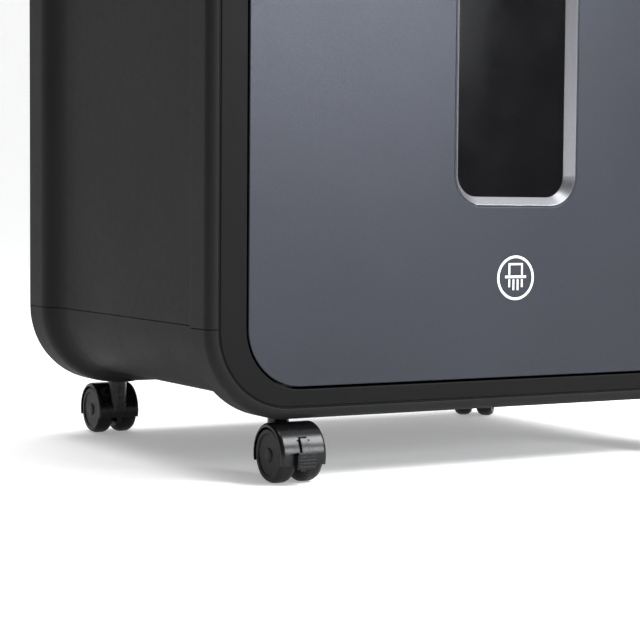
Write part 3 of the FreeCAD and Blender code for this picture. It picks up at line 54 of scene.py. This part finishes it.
# ---------------------------------------------------------------- node-material tools
class Recipe:
    """A Principled material built step by step, with every pattern in real metres."""

    def __init__(self, name, color, roughness, metallic=0.0, **sockets):
        self.material = bpy.data.materials.new(name)
        self.material.use_nodes = True
        self.tree = self.material.node_tree
        self.shader = self.tree.nodes["Principled BSDF"]
        self.set("Base Color", (*color, 1.0))
        self.set("Roughness", roughness)
        self.set("Metallic", metallic)
        for socket, value in sockets.items():
            self.set(socket.replace("_", " "), value)
        self.coords = self.tree.nodes.new("ShaderNodeTexCoord").outputs["Object"]
        self.normal = None

    def set(self, socket, value):
        """Give a shader input a fixed value."""
        self.shader.inputs[socket].default_value = value

    def link(self, source, target):
        """Join two sockets."""
        self.tree.links.new(source, target)

    def feed(self, socket, source):
        """Drive a shader input from a socket."""
        self.link(source, self.shader.inputs[socket])

    def add(self, kind, **settings):
        """A new node with its settings."""
        made = self.tree.nodes.new(kind)
        for key, value in settings.items():
            setattr(made, key, value)
        return made

    def stretched(self, factors):
        """The coordinates scaled along each axis, for grain that runs one way."""
        mapping = self.add("ShaderNodeMapping")
        mapping.inputs["Scale"].default_value = factors
        self.link(self.coords, mapping.inputs["Vector"])
        return mapping.outputs["Vector"]

    def noise(self, size, detail=2.0, roughness=0.5, factors=None):
        """Noise whose features are about size metres across."""
        made = self.add("ShaderNodeTexNoise")
        made.inputs["Scale"].default_value = 1.0 / size
        made.inputs["Detail"].default_value = detail
        made.inputs["Roughness"].default_value = roughness
        self.link(self.stretched(factors) if factors else self.coords, made.inputs["Vector"])
        return made.outputs["Fac"]

    def cells(self, size, feature="F1", randomness=1.0):
        """Distances in a cell pattern whose cells are about size metres across."""
        made = self.add("ShaderNodeTexVoronoi", feature=feature)
        made.inputs["Scale"].default_value = 1.0 / size
        made.inputs["Randomness"].default_value = randomness
        self.link(self.coords, made.inputs["Vector"])
        return made.outputs["Distance"]

    def remap(self, source, low, high, to_low, to_high):
        """A socket's range low to high stretched to another range, and held within it."""
        made = self.add("ShaderNodeMapRange")
        for key, value in (("From Min", low), ("From Max", high), ("To Min", to_low), ("To Max", to_high)):
            made.inputs[key].default_value = value
        self.link(source, made.inputs["Value"])
        return made.outputs["Result"]

    def math(self, operation, first, second):
        """A sum on sockets or plain numbers."""
        made = self.add("ShaderNodeMath", operation=operation)
        for index, value in enumerate((first, second)):
            if isinstance(value, (int, float)):
                made.inputs[index].default_value = value
            else:
                self.link(value, made.inputs[index])
        return made.outputs["Value"]

    def mix(self, factor, first, second):
        """Colours or sockets mixed by a factor socket."""
        made = self.add("ShaderNodeMix", data_type="RGBA")
        self.link(factor, made.inputs["Factor"])
        for key, value in (("A", first), ("B", second)):
            socket = next(i for i in made.inputs if i.name == key and i.type == "RGBA")
            if isinstance(value, tuple):
                socket.default_value = (*value, 1.0)
            else:
                self.link(value, socket)
        return next(o for o in made.outputs if o.type == "RGBA")

    def bump(self, height, depth):
        """Relief of depth metres from a 0 to 1 height; calls stack on each other."""
        made = self.add("ShaderNodeBump")
        made.inputs["Strength"].default_value = 1.0
        made.inputs["Distance"].default_value = depth
        self.link(height, made.inputs["Height"])
        if self.normal is not None:
            self.link(self.normal, made.inputs["Normal"])
        self.normal = made.outputs["Normal"]
        self.feed("Normal", self.normal)

    def facing_front(self):
        """1 on faces that look straight forward, 0 on the rest."""
        split = self.add("ShaderNodeSeparateXYZ")
        self.link(self.add("ShaderNodeTexCoord").outputs["Normal"], split.inputs["Vector"])
        return self.remap(self.math("MULTIPLY", split.outputs["Y"], -1.0), 0.93, 0.98, 0.0, 1.0)

    def soft_edges(self, radius):
        """Rounded light on hard edges, and a mask of those edges: for wear, for bright edges on metal and for
        the painted edge highlight of metallic paint.
        """
        made = self.add("ShaderNodeBevel", samples=4)
        made.inputs["Radius"].default_value = radius
        self.normal = made.outputs["Normal"]
        self.feed("Normal", self.normal)
        true_normal = self.add("ShaderNodeNewGeometry").outputs["Normal"]
        dot = self.add("ShaderNodeVectorMath", operation="DOT_PRODUCT")
        self.link(made.outputs["Normal"], dot.inputs[0])
        self.link(true_normal, dot.inputs[1])
        return self.remap(dot.outputs["Value"], 0.995, 0.85, 0.0, 1.0)


def moulded(name, color, roughness, grain=0.9 * MM, depth=0.02 * MM, edge=0.5 * MM, light=1.35,
            coat=0.0, specular=0.07):
    """Spark-eroded moulded plastic: fine leathery grain, faint flow marks and scuffed edges."""
    r = Recipe(name, color, roughness, Specular_IOR_Level=specular)
    edges = r.soft_edges(edge)
    drift = r.noise(60 * MM, detail=3.0)
    scuff = r.noise(7 * MM, detail=6.0, roughness=0.7)
    base = r.mix(r.remap(drift, 0.35, 0.65, 0.0, 1.0), color, tinted(color, 1.12))
    wear = r.math("MULTIPLY", edges, r.remap(scuff, 0.45, 0.7, 0.0, 0.8))
    r.feed("Base Color", r.mix(wear, base, tinted(color, light, 0.004)))
    speckle = r.cells(grain, feature="SMOOTH_F1")
    fine = r.noise(grain * 0.45, detail=3.0)
    rough = r.math("ADD", r.remap(drift, 0.3, 0.7, roughness - 0.03, roughness + 0.03),
                   r.remap(scuff, 0.4, 0.7, -0.02, 0.04))
    r.feed("Roughness", rough)
    r.bump(r.math("ADD", speckle, r.math("MULTIPLY", fine, 0.6)), depth)
    r.set("Coat Weight", coat)
    return r.material


def metallic_paint(name, color, dark, roughness, metallic=0.75, land=None):
    """Metallic paint with a satin finish: flake sparkle, cloudy drift, slight orange peel and a painted
    highlight along its hard edges.

    land is the colour of the faces that look straight forward, where it differs.
    """
    r = Recipe(name, color, roughness, metallic=metallic, Specular_IOR_Level=0.2)
    edges = r.soft_edges(0.35 * MM)
    flake = r.cells(0.55 * MM)
    drift = r.noise(90 * MM, detail=2.0)
    base = r.mix(r.remap(drift, 0.3, 0.7, 0.0, 1.0), color, dark)
    sparkle = r.mix(r.remap(flake, 0.0, 0.5, 0.28, 0.0), base, tinted(color, 1.9))
    # painted highlight: the paint made lighter along its hard edges
    paint = r.mix(r.math("MULTIPLY", edges, 0.35), sparkle, tinted(color, 1.7))
    r.feed("Base Color", r.mix(r.facing_front(), paint, land) if land else paint)
    r.feed("Roughness", r.remap(flake, 0.0, 0.6, roughness - 0.05, roughness + 0.06))
    r.bump(r.noise(3.5 * MM, detail=1.0), 0.012 * MM)
    r.bump(flake, 0.004 * MM)
    return r.material


def gloss(name, color, roughness):
    """Polished plastic with faint ripples, hairline scratches and finger haze."""
    r = Recipe(name, color, roughness)
    r.soft_edges(0.3 * MM)
    haze = r.noise(35 * MM, detail=5.0, roughness=0.65)
    hair = r.noise(1.2 * MM, detail=2.0, factors=(1.0, 1.0, 14.0))
    rough = r.math("ADD", r.remap(haze, 0.4, 0.75, roughness, roughness + 0.12),
                   r.remap(hair, 0.68, 0.8, 0.0, 0.12))
    r.feed("Roughness", rough)
    r.feed("Base Color", r.mix(r.remap(haze, 0.4, 0.8, 0.0, 0.6), color, tinted(color, 1.3, 0.003)))
    r.bump(r.noise(4 * MM, detail=1.0), 0.008 * MM)
    return r.material


def metal(name, color, roughness, factors=(1.0, 14.0, 14.0), tint=None):
    """Machined or rolled metal: grain drawn out by factors along x, y and z, stain and bright edges."""
    r = Recipe(name, color, roughness, metallic=1.0)
    edges = r.soft_edges(0.3 * MM)
    lines = r.noise(0.5 * MM, detail=3.0, factors=tuple(1.0 / f for f in factors))
    stain = r.noise(18 * MM, detail=6.0, roughness=0.7)
    base = r.mix(r.remap(stain, 0.42, 0.72, 0.0, 0.8), color, tint or tinted(color, 0.72))
    r.feed("Base Color", r.mix(r.math("MULTIPLY", edges, 0.5), base, tinted(color, 1.3)))
    r.feed("Roughness", r.math("ADD", r.remap(lines, 0.3, 0.7, roughness - 0.07, roughness + 0.08),
                               r.remap(stain, 0.4, 0.8, 0.0, 0.14)))
    r.bump(lines, 0.01 * MM)
    return r.material


def smoked(name):
    """Smoked polycarbonate: nearly black, glossy, slightly hazed by dust inside."""
    smoke = (0.004, 0.004, 0.0045)
    r = Recipe(name, smoke, 0.12, Specular_IOR_Level=0.05)
    dust = r.noise(1.5 * MM, detail=4.0, roughness=0.7)
    cloud = r.noise(40 * MM, detail=3.0)
    mask = r.math("MULTIPLY", r.remap(dust, 0.5, 0.75, 0.0, 1.0), r.remap(cloud, 0.35, 0.7, 0.0, 0.25))
    r.feed("Base Color", r.mix(mask, smoke, (0.02, 0.02, 0.021)))
    r.feed("Roughness", r.remap(cloud, 0.3, 0.7, 0.07, 0.2))
    r.bump(r.noise(6 * MM, detail=1.0), 0.01 * MM)
    return r.material


def circuit(name):
    """Green solder mask over a lattice of tracks."""
    r = Recipe(name, (0.02, 0.12, 0.045), 0.35)
    tracks = r.cells(3.5 * MM, feature="DISTANCE_TO_EDGE", randomness=0.35)
    mask = r.remap(tracks, 0.06, 0.1, 1.0, 0.0)
    r.feed("Base Color", r.mix(mask, (0.015, 0.10, 0.04), (0.06, 0.26, 0.09)))
    r.bump(mask, 0.03 * MM)
    return r.material


def glow(name, color, strength):
    """A lit indicator behind a dark diffusing strip."""
    r = Recipe(name, color, 0.4, Emission_Strength=strength)
    r.set("Emission Color", (*color, 1.0))
    fade = r.noise(1.5 * MM, detail=1.0)
    r.feed("Base Color", r.mix(fade, color, tinted(color, 0.7)))
    r.bump(fade, 0.01 * MM)
    return r.material


def printed(name, color):
    """Screen-printed ink: slightly uneven cover over the plastic's grain."""
    r = Recipe(name, color, 0.5)
    cover = r.noise(1.1 * MM, detail=4.0, roughness=0.7)
    r.feed("Base Color", r.mix(r.remap(cover, 0.55, 0.8, 0.0, 0.6), color, tinted(color, 0.72)))
    r.feed("Roughness", r.remap(cover, 0.3, 0.7, 0.42, 0.58))
    r.bump(cover, 0.006 * MM)
    return r.material


MATERIALS = {
    "shell": moulded("shell_black", (0.0126, 0.0126, 0.0129), 0.52),
    "pan": moulded("pan_black", (0.0126, 0.0126, 0.0129), 0.54),
    # the bezel is the shell's black plastic set darker: painted shade on the front face
    "bezel": moulded("bezel_black_painted_shade", (0.0052, 0.0052, 0.0054), 0.50, depth=0.012 * MM),
    "gunmetal": metallic_paint("gunmetal_paint", (0.0325, 0.0345, 0.0415), (0.0298, 0.0316, 0.038), 0.34),
    "silver": metallic_paint("silver_paint", (0.56, 0.56, 0.60), (0.52, 0.52, 0.56), 0.35,
                             metallic=1.0, land=(0.030, 0.032, 0.039)),
    "smoke": smoked("smoked_window"),
    "bin": moulded("bin_grey", (0.030, 0.030, 0.032), 0.5, grain=1.4 * MM, depth=0.035 * MM),
    "trim": moulded("black_trim", (0.010, 0.010, 0.011), 0.45),
    "lens": gloss("indicator_lens", (0.006, 0.006, 0.008), 0.1),
    "button": moulded("button_grey", (0.16, 0.16, 0.17), 0.4, grain=0.6 * MM, depth=0.01 * MM, specular=0.4),
    "rocker": gloss("rocker_black", (0.010, 0.010, 0.010), 0.22),
    "steel": metal("zinc_steel", (0.56, 0.57, 0.58), 0.34),
    "tool_steel": metal("ground_steel", (0.46, 0.46, 0.47), 0.26, factors=(14.0, 1.0, 1.0)),
    "gear_steel": metal("sintered_steel", (0.42, 0.40, 0.37), 0.4, factors=(1.0, 1.0, 1.0),
                        tint=(0.20, 0.17, 0.13)),
    "nylon": moulded("natural_nylon", (0.62, 0.60, 0.52), 0.45, grain=0.7 * MM, light=1.1, specular=0.5),
    "bronze": metal("oiled_bronze", (0.52, 0.36, 0.16), 0.36, factors=(1.0, 1.0, 1.0)),
    "motor_paint": moulded("motor_enamel", (0.05, 0.05, 0.055), 0.3, depth=0.008 * MM, coat=0.4),
    "armature": metal("armature_copper", (0.60, 0.34, 0.20), 0.4, factors=(1.0, 6.0, 6.0)),
    "board": circuit("solder_mask"),
    "caster_hood": moulded("hood_nylon", (0.004, 0.004, 0.0045), 0.26, grain=0.7 * MM,
                           depth=0.003 * MM, edge=0.35 * MM, specular=0.25),
    "caster_wheel": moulded("wheel_nylon", (0.010, 0.010, 0.010), 0.40, grain=0.6 * MM,
                            depth=0.008 * MM, edge=0.4 * MM, specular=0.1),
    "plated": metal("bright_plating", (0.68, 0.68, 0.69), 0.16),
    "print_white": printed("white_print", (0.84, 0.84, 0.85)),
    "print_dark": printed("dark_print", (0.02, 0.02, 0.022)),
    "standby_light": glow("standby_light", (0.10, 0.85, 0.35), 2.0),
    "label": printed("label_foil", (0.45, 0.45, 0.46)),
}

for part in frame["record"]["subparts"]:
    mesh = nodes[part["node"]].data
    mesh.materials.clear()
    mesh.materials.append(MATERIALS[part["material_slot"]])


# ---------------------------------------------------------------- added pieces
def add_piece(name, bm, body, finish, smooth=False):
    """A mesh piece in the frame's own place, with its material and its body."""
    mesh = bpy.data.meshes.new(name)
    bmesh.ops.recalc_face_normals(bm, faces=bm.faces)
    bm.to_mesh(mesh)
    bm.free()
    mesh.materials.append(MATERIALS[finish])
    for polygon in mesh.polygons:
        polygon.use_smooth = smooth
    piece = bpy.data.objects.new(name, mesh)
    bpy.context.scene.collection.objects.link(piece)
    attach(piece, body)


def add_block(bm, low, high, chamfer=0.0):
    """A box between two corners, in metres, with its edges chamfered."""
    size = [b - a for a, b in zip(low, high)]
    middle = [(a + b) / 2 for a, b in zip(low, high)]
    shape = Matrix.Translation(middle) @ Matrix.Diagonal((*size, 1.0))
    made = bmesh.ops.create_cube(bm, size=1.0, matrix=shape)
    if chamfer:
        edges = {edge for vert in made["verts"] for edge in vert.link_edges}
        bmesh.ops.bevel(bm, geom=list(edges), offset=chamfer, segments=2, affect="EDGES", profile=0.6)


def add_stroke(bm, points, width, low, high, place, closed=False):
    """A line of ink: a flat band along 2-D points, standing from height low to high over a surface.

    place turns (across, height over the surface, up) into the model's frame.
    """
    count = len(points)
    rows = []
    for index, point in enumerate(points):
        before = points[index - 1] if (index or closed) else None
        after = points[(index + 1) % count] if (index < count - 1 or closed) else None
        sides = []
        for start, end in ((before, point), (point, after)):
            if start is not None and end is not None:
                run = Vector(end) - Vector(start)
                sides.append(Vector((-run.y, run.x)).normalized())
        side = sum(sides, Vector((0.0, 0.0))) / len(sides)
        side *= width / 2 / max(side.length_squared, 0.25)
        corners = []
        for sign, height in ((1, low), (1, high), (-1, high), (-1, low)):
            across, up = Vector(point) + sign * side
            corners.append(bm.verts.new(place(across, height, up)))
        rows.append(corners)
    pairs = list(zip(rows, rows[1:])) + ([(rows[-1], rows[0])] if closed else [])
    for first, second in pairs:
        for k in range(4):
            n = (k + 1) % 4
            bm.faces.new((first[k], second[k], second[n], first[n]))
    if not closed:
        bm.faces.new(rows[0])
        bm.faces.new(reversed(rows[-1]))


def ring(radius, start=0.0, sweep=360.0, steps=64):
    """2-D points on an arc about 0, 0, in degrees from straight up; a full turn leaves the last point out."""
    last = steps if sweep >= 360.0 else steps + 1
    angles = [math.radians(start + sweep * k / steps) for k in range(last)]
    return [(radius * math.sin(a), radius * math.cos(a)) for a in angles]


INK = 0.08 * MM                    # thickness of printed marks
PANEL_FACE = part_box("bin_front")[0].y


def on_front(x, z, face):
    """Placer for marks on a face that looks to -Y, about the point x, z."""
    return lambda across, height, up: (x + across, face - height, z + up)


def make_badge():
    """A plain round mark on the drawer front: a sheet going into a bar and leaving as strips."""
    place = on_front(0.0, 114.5 * MM, PANEL_FACE)
    bm = bmesh.new()
    add_stroke(bm, ring(12.6 * MM), 1.5 * MM, 0.0, INK, place, closed=True)
    add_stroke(bm, [(-7.6 * MM, 0.6 * MM), (7.6 * MM, 0.6 * MM)], 1.5 * MM, 0.0, INK, place)
    sheet = [(-4.6 * MM, 1.9 * MM), (-4.6 * MM, 8.2 * MM), (4.6 * MM, 8.2 * MM), (4.6 * MM, 1.9 * MM)]
    add_stroke(bm, sheet, 1.2 * MM, 0.0, INK, place)
    for index, strip_end in enumerate((-5.6, -7.4, -7.4, -5.6)):
        x = (index - 1.5) * 3.05 * MM
        add_stroke(bm, [(x, -0.9 * MM), (x, strip_end * MM)], 1.2 * MM, 0.0, INK, place)
    add_piece("badge_mark", bm, "drawer", "print_white")


def make_button_marks():
    """Raised signs in the shallow dish of each button: double chevrons and a power ring."""
    dish, sign, line = 0.30 * MM, 0.22 * MM, 0.6 * MM
    for name, shift in (("reverse", -1), ("power", 0), ("forward", 1)):
        low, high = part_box(f"button_{name}")
        x, z = (low.x + high.x) / 2, (low.z + high.z) / 2
        place = on_front(x, z, low.y + dish)
        bm = bmesh.new()
        if name == "power":
            add_stroke(bm, ring(2.6 * MM, start=40.0, sweep=280.0, steps=40), line, 0.0, sign, place)
            add_stroke(bm, [(0.0, 0.7 * MM), (0.0, 3.4 * MM)], line, 0.0, sign, place)
        else:
            for start in (-2.3, 0.3):
                chevron = [(shift * start * MM, 2.2 * MM), (shift * (start + 2.0) * MM, 0.0),
                           (shift * start * MM, -2.2 * MM)]
                add_stroke(bm, chevron, line, 0.0, sign, place)
        add_piece(f"button_{name}_mark", bm, f"{name}_button", "print_white")


def make_indicator_marks():
    """Four small symbols behind the indicator strip; the first one is lit."""
    low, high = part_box("indicator_lens")
    z = (low.z + high.z) / 2
    face = low.y
    bm = bmesh.new()
    add_stroke(bm, ring(1.1 * MM), 0.7 * MM, 0.0, INK, on_front(-27.0 * MM, z, face), closed=True)
    add_piece("indicator_standby", bm, "cabinet", "standby_light")
    bm = bmesh.new()
    bin_spot = on_front(-9.0 * MM, z, face)
    bin_sign = [(-1.8 * MM, 1.9 * MM), (-1.3 * MM, -1.8 * MM), (1.3 * MM, -1.8 * MM), (1.8 * MM, 1.9 * MM)]
    add_stroke(bm, bin_sign, 0.45 * MM, 0.0, INK, bin_spot)
    door_spot = on_front(9.0 * MM, z, face)
    door_sign = [(-1.8 * MM, -1.8 * MM), (1.8 * MM, -1.8 * MM), (1.8 * MM, 1.8 * MM), (-1.8 * MM, 1.8 * MM)]
    add_stroke(bm, door_sign, 0.45 * MM, 0.0, INK, door_spot, closed=True)
    add_stroke(bm, [(-0.7 * MM, 0.0), (0.7 * MM, 0.0)], 0.45 * MM, 0.0, INK, door_spot)
    heat_spot = on_front(27.0 * MM, z, face)
    for x in (-1.3, 0.0, 1.3):
        wave = [((x + 0.35 * math.sin(k * math.pi / 3)) * MM, (-1.9 + 0.63 * k) * MM) for k in range(7)]
        add_stroke(bm, wave, 0.4 * MM, 0.0, INK, heat_spot)
    add_piece("indicator_symbols", bm, "cabinet", "print_white")


def make_bezel_seal():
    """The soft seal at the bottom of the line between the front bezel and the shell's lip."""
    inset, radius = 6.95 * MM, 44.75 * MM        # middle of the line, from the rim's outer face
    half_width, sunk, deep = 0.37 * MM, 0.45 * MM, 2 * MM
    corner_steps = 16
    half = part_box("head_cover")[1].x - inset - radius
    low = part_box("base_pan")[0].z + inset + radius
    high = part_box("head_cover")[1].z - inset - radius
    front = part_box("front_bezel")[0].y
    bm = bmesh.new()
    loops = []
    for out, depth in ((-half_width, sunk), (half_width, sunk), (half_width, deep), (-half_width, deep)):
        loop = []
        for x, z, start in ((half, high, 0), (-half, high, 90), (-half, low, 180), (half, low, 270)):
            for step in range(corner_steps + 1):
                turn = math.radians(start + 90.0 * step / corner_steps)
                loop.append(bm.verts.new((x + (radius + out) * math.cos(turn), front + depth,
                                          z + (radius + out) * math.sin(turn))))
        loops.append(loop)
    for first, second in zip(loops, loops[1:] + loops[:1]):
        for i in range(len(first)):
            bm.faces.new((first[i - 1], first[i], second[i], second[i - 1]))
    add_piece("bezel_seal", bm, "cabinet", "bezel")


def make_feed_marks():
    """Printed guide marks in front of the feed slot: an arrow to its middle and a line at each end."""
    lip_height, marks_y = 2.0 * MM, -30.0 * MM
    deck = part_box("feed_throat")[1].z - lip_height

    def place(across, height, up):
        return (across, up + marks_y, deck + height)

    bm = bmesh.new()
    add_stroke(bm, [(0.0, -8 * MM), (0.0, 7.4 * MM)], 1.2 * MM, 0.0, INK, place)
    add_stroke(bm, [(-4 * MM, 4 * MM), (0.0, 8 * MM), (4 * MM, 4 * MM)], 1.2 * MM, 0.0, INK, place)
    for x in (-110.0, 110.0):
        add_stroke(bm, [(x * MM, 2 * MM), (x * MM, 12 * MM)], 0.8 * MM, 0.0, INK, place)
    add_piece("feed_marks", bm, "cabinet", "print_white")


def make_bin_ribs():
    """Stiffening ribs inside the bin, and a fill line printed between the ribs of its back wall."""
    low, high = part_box("bin_shell")
    wall, rib, stand, soft = 2.5 * MM, 2.0 * MM, 2.2 * MM, 0.4 * MM
    rib_gap = 48 * MM                  # between the ribs of the back wall
    floor, rib_top, back = low.z + wall, high.z - 8 * MM, high.y - wall
    bm = bmesh.new()
    for side in (-1, 1):
        near = side * (high.x - wall)
        x_low, x_high = sorted((near, near - side * stand))
        for index in range(5):
            y = low.y + 40 * MM + index * (high.y - low.y - 80 * MM) / 4
            add_block(bm, (x_low, y - rib / 2, floor), (x_high, y + rib / 2, rib_top), soft)
    for index in range(7):
        x = (index - 3) * rib_gap
        add_block(bm, (x - rib / 2, back - stand, floor), (x + rib / 2, back, rib_top), soft)
        add_block(bm, (x - rib / 2, low.y + 16 * MM, floor), (x + rib / 2, back - stand, floor + stand), soft)
    add_piece("bin_ribs", bm, "drawer", "bin")

    def place(across, height, up):
        return (across, back - height, up)

    bm = bmesh.new()
    level = high.z - 70 * MM
    for index in range(6):
        x = (index - 2.5) * rib_gap
        add_stroke(bm, [(x - 14 * MM, level), (x + 14 * MM, level)], 1.6 * MM, 0.0, INK, place)
    add_piece("bin_fill_line", bm, "drawer", "print_white")


def make_rear_label():
    """A rating plate on the rear panel, with ruled lines and no words."""
    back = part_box("rear_panel")[1].y
    foil = 0.12 * MM
    bm = bmesh.new()
    add_block(bm, (-40 * MM, back, 330 * MM), (40 * MM, back + foil, 380 * MM))
    add_piece("rear_label", bm, "cabinet", "label")

    def place(across, height, up):
        return (across, back + foil + height, up)

    bm = bmesh.new()
    outline = [(-37 * MM, 333 * MM), (37 * MM, 333 * MM), (37 * MM, 377 * MM), (-37 * MM, 377 * MM)]
    add_stroke(bm, outline, 0.5 * MM, 0.0, INK, place, closed=True)
    for z in (345.0, 357.0):
        add_stroke(bm, [(-37 * MM, z * MM), (37 * MM, z * MM)], 0.4 * MM, 0.0, INK, place)
    add_piece("rear_label_lines", bm, "cabinet", "print_dark")


def add_lathe(bm, profile, centre, axis, steps=48):
    """Points of (distance along the axis, radius) turned about the axis; the first lies on it."""
    along = Vector(axis).normalized()
    side = along.cross(Vector((0.0, 0.0, 1.0))).normalized()
    up = side.cross(along)
    tip = bm.verts.new(Vector(centre) + along * profile[0][0])
    rings = []
    for distance, radius in profile[1:]:
        turns = [2 * math.pi * k / steps for k in range(steps)]
        rings.append([bm.verts.new(Vector(centre) + along * distance
                                   + radius * (side * math.cos(a) + up * math.sin(a))) for a in turns])
    for k in range(steps):
        n = (k + 1) % steps
        bm.faces.new((tip, rings[0][k], rings[0][n]))
        for inner, outer in zip(rings, rings[1:]):
            bm.faces.new((inner[k], outer[k], outer[n], inner[n]))


def make_hub_caps():
    """A low domed cap over the axle end of every caster wheel."""
    for joint in frame["record"]["behaviour"]["joints"]:
        if not (joint["name"].startswith("caster_") and joint["name"].endswith("_roll")):
            continue
        side = -1 if joint["child"].endswith("left_wheel") else 1
        profile = [(14.15, 0.0), (14.1, 1.6), (14.0, 2.6), (13.92, 3.1), (13.75, 3.3), (13.4, 3.3)]
        bm = bmesh.new()
        add_lathe(bm, [(side * x * MM, r * MM) for x, r in profile], joint["pos_m"], joint["axis"])
        add_piece(joint["child"] + "_cap", bm, joint["child"], "caster_wheel", smooth=True)


def make_pedal_ridges():
    """Grip ridges across the face of each brake pedal, set round the wheel's axle."""
    ridge_low = (-5.4 * MM, -21.85 * MM, -0.35 * MM)
    ridge_high = (5.4 * MM, -21.2 * MM, 0.35 * MM)
    for side in ("left", "right"):
        low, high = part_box(f"caster_front_{side}_brake")
        wheel_low, wheel_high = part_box(f"caster_front_{side}_wheel_{side}")
        axle_y, axle_z = (wheel_low.y + wheel_high.y) / 2, (wheel_low.z + wheel_high.z) / 2
        middle = (low.x + high.x) / 2
        bm = bmesh.new()
        for angle in (-13.0, -8.0, -3.0, 2.0):
            turn = Matrix.Rotation(math.radians(-angle), 4, "X")
            fresh = bmesh.new()
            add_block(fresh, ridge_low, ridge_high, 0.15 * MM)
            fresh.transform(Matrix.Translation((middle, axle_y, axle_z)) @ turn)
            spare = bpy.data.meshes.new("ridge")
            fresh.to_mesh(spare)
            fresh.free()
            bm.from_mesh(spare)
            bpy.data.meshes.remove(spare)
        add_piece(f"caster_front_{side}_ridges", bm, f"caster_front_{side}_brake_lever", "caster_hood")


make_badge()
make_button_marks()
make_hub_caps()
make_pedal_ridges()
make_indicator_marks()
make_bezel_seal()
make_feed_marks()
make_bin_ribs()
make_rear_label()


# ---------------------------------------------------------------- stage, light and camera
FRONT_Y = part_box("front_bezel")[0].y
CAMERA_SPOT = Vector((-0.6427, FRONT_Y - 0.8999, 0.1557))
CAMERA_YAW, CAMERA_PITCH, CAMERA_ROLL = 29.44, 3.51, 0.44
CAMERA_LENS, SENSOR = 103.2, 36.0      # in mm
FLOOR_REACH = 9.0                      # the rest of the stage is in metres
BACKDROP_Y, BACKDROP_BEND, BACKDROP_TOP = 3.4, 1.4, 7.0


def make_camera():
    """The camera, low on the object's left front."""
    data = bpy.data.cameras.new("camera")
    data.lens = CAMERA_LENS
    data.sensor_width = SENSOR
    data.clip_start = 0.01
    camera = bpy.data.objects.new("camera", data)
    bpy.context.scene.collection.objects.link(camera)
    turn = (Matrix.Rotation(math.radians(-CAMERA_YAW), 4, "Z")
            @ Matrix.Rotation(math.radians(90 - CAMERA_PITCH), 4, "X")
            @ Matrix.Rotation(math.radians(CAMERA_ROLL), 4, "Z"))
    camera.matrix_world = Matrix.Translation(CAMERA_SPOT) @ turn
    bpy.context.scene.camera = camera


def area_light(name, spot, target, size, power, color=(1.0, 1.0, 1.0)):
    """A rectangular softbox at a spot, aimed at a target, with its power in watts."""
    data = bpy.data.lights.new(name, "AREA")
    data.shape = "RECTANGLE"
    data.size, data.size_y = size
    data.energy = power
    data.color = color
    light = bpy.data.objects.new(name, data)
    light.location = spot
    light.rotation_euler = (Vector(target) - Vector(spot)).to_track_quat("-Z", "Y").to_euler()
    bpy.context.scene.collection.objects.link(light)


def make_floor():
    """A pale floor that curves up into a backdrop well behind the object."""
    mesh = bpy.data.meshes.new("studio_floor")
    bm = bmesh.new()
    rows = [(-FLOOR_REACH, 0.0), (BACKDROP_Y, 0.0)]
    steps = 12
    for step in range(1, steps + 1):
        angle = math.pi / 2 * step / steps
        rows.append((BACKDROP_Y + BACKDROP_BEND * math.sin(angle), BACKDROP_BEND * (1 - math.cos(angle))))
    rows.append((BACKDROP_Y + BACKDROP_BEND, BACKDROP_TOP))
    pairs = [(bm.verts.new((-FLOOR_REACH, y, z)), bm.verts.new((FLOOR_REACH, y, z))) for y, z in rows]
    for (a, b), (c, d) in zip(pairs, pairs[1:]):
        bm.faces.new((a, b, d, c))
    bm.to_mesh(mesh)
    bm.free()
    floor = bpy.data.objects.new("studio_floor", mesh)
    bpy.context.scene.collection.objects.link(floor)
    for polygon in mesh.polygons:
        polygon.use_smooth = True
    paper = Recipe("studio_paper", (0.88, 0.88, 0.88), 0.9, Specular_IOR_Level=0.1, Emission_Strength=0.30)
    paper.set("Emission Color", (1.0, 1.0, 1.0, 1.0))
    mottle = paper.noise(0.4, detail=2.0)
    paper.feed("Base Color", paper.mix(mottle, (0.87, 0.87, 0.87), (0.89, 0.89, 0.89)))
    mesh.materials.append(paper.material)


def make_world():
    """White studio surroundings, dimmer to the left and in front of the object."""
    world = bpy.data.worlds.new("studio")
    world.use_nodes = True
    tree = world.node_tree
    background = tree.nodes["Background"]
    coords = tree.nodes.new("ShaderNodeTexCoord")
    split = tree.nodes.new("ShaderNodeSeparateXYZ")
    tree.links.new(coords.outputs["Generated"], split.inputs["Vector"])

    def ramp(axis, low, high, to_low, to_high):
        made = tree.nodes.new("ShaderNodeMapRange")
        made.interpolation_type = "SMOOTHSTEP"
        for key, value in (("From Min", low), ("From Max", high), ("To Min", to_low), ("To Max", to_high)):
            made.inputs[key].default_value = value
        tree.links.new(split.outputs[axis], made.inputs["Value"])
        return made.outputs["Result"]

    product = tree.nodes.new("ShaderNodeMath")
    product.operation = "MULTIPLY"
    tree.links.new(ramp("X", -0.45, 0.1, 0.12, 1.0), product.inputs[0])
    tree.links.new(ramp("Y", -0.5, 0.3, 0.45, 1.0), product.inputs[1])
    tree.links.new(product.outputs["Value"], background.inputs["Strength"])
    background.inputs["Color"].default_value = (1.0, 1.0, 1.0, 1.0)
    bpy.context.scene.world = world


make_camera()
make_floor()
make_world()
area_light("key", (0.92, -1.12, 1.38), (-0.05, -0.138, 0.12), (0.8, 0.8), 52.0, (0.97, 0.985, 1.0))
area_light("panel_glow", (0.82, -1.89, 0.62), (-0.1, -0.138, 0.18), (0.5, 0.5), 20.0, (0.95, 0.97, 1.0))
area_light("top", (-0.3, 0.5, 3.0), (0.0, 0.0, 0.3), (2.4, 2.4), 75.0)
bpy.context.scene.view_settings.view_transform = "Standard"
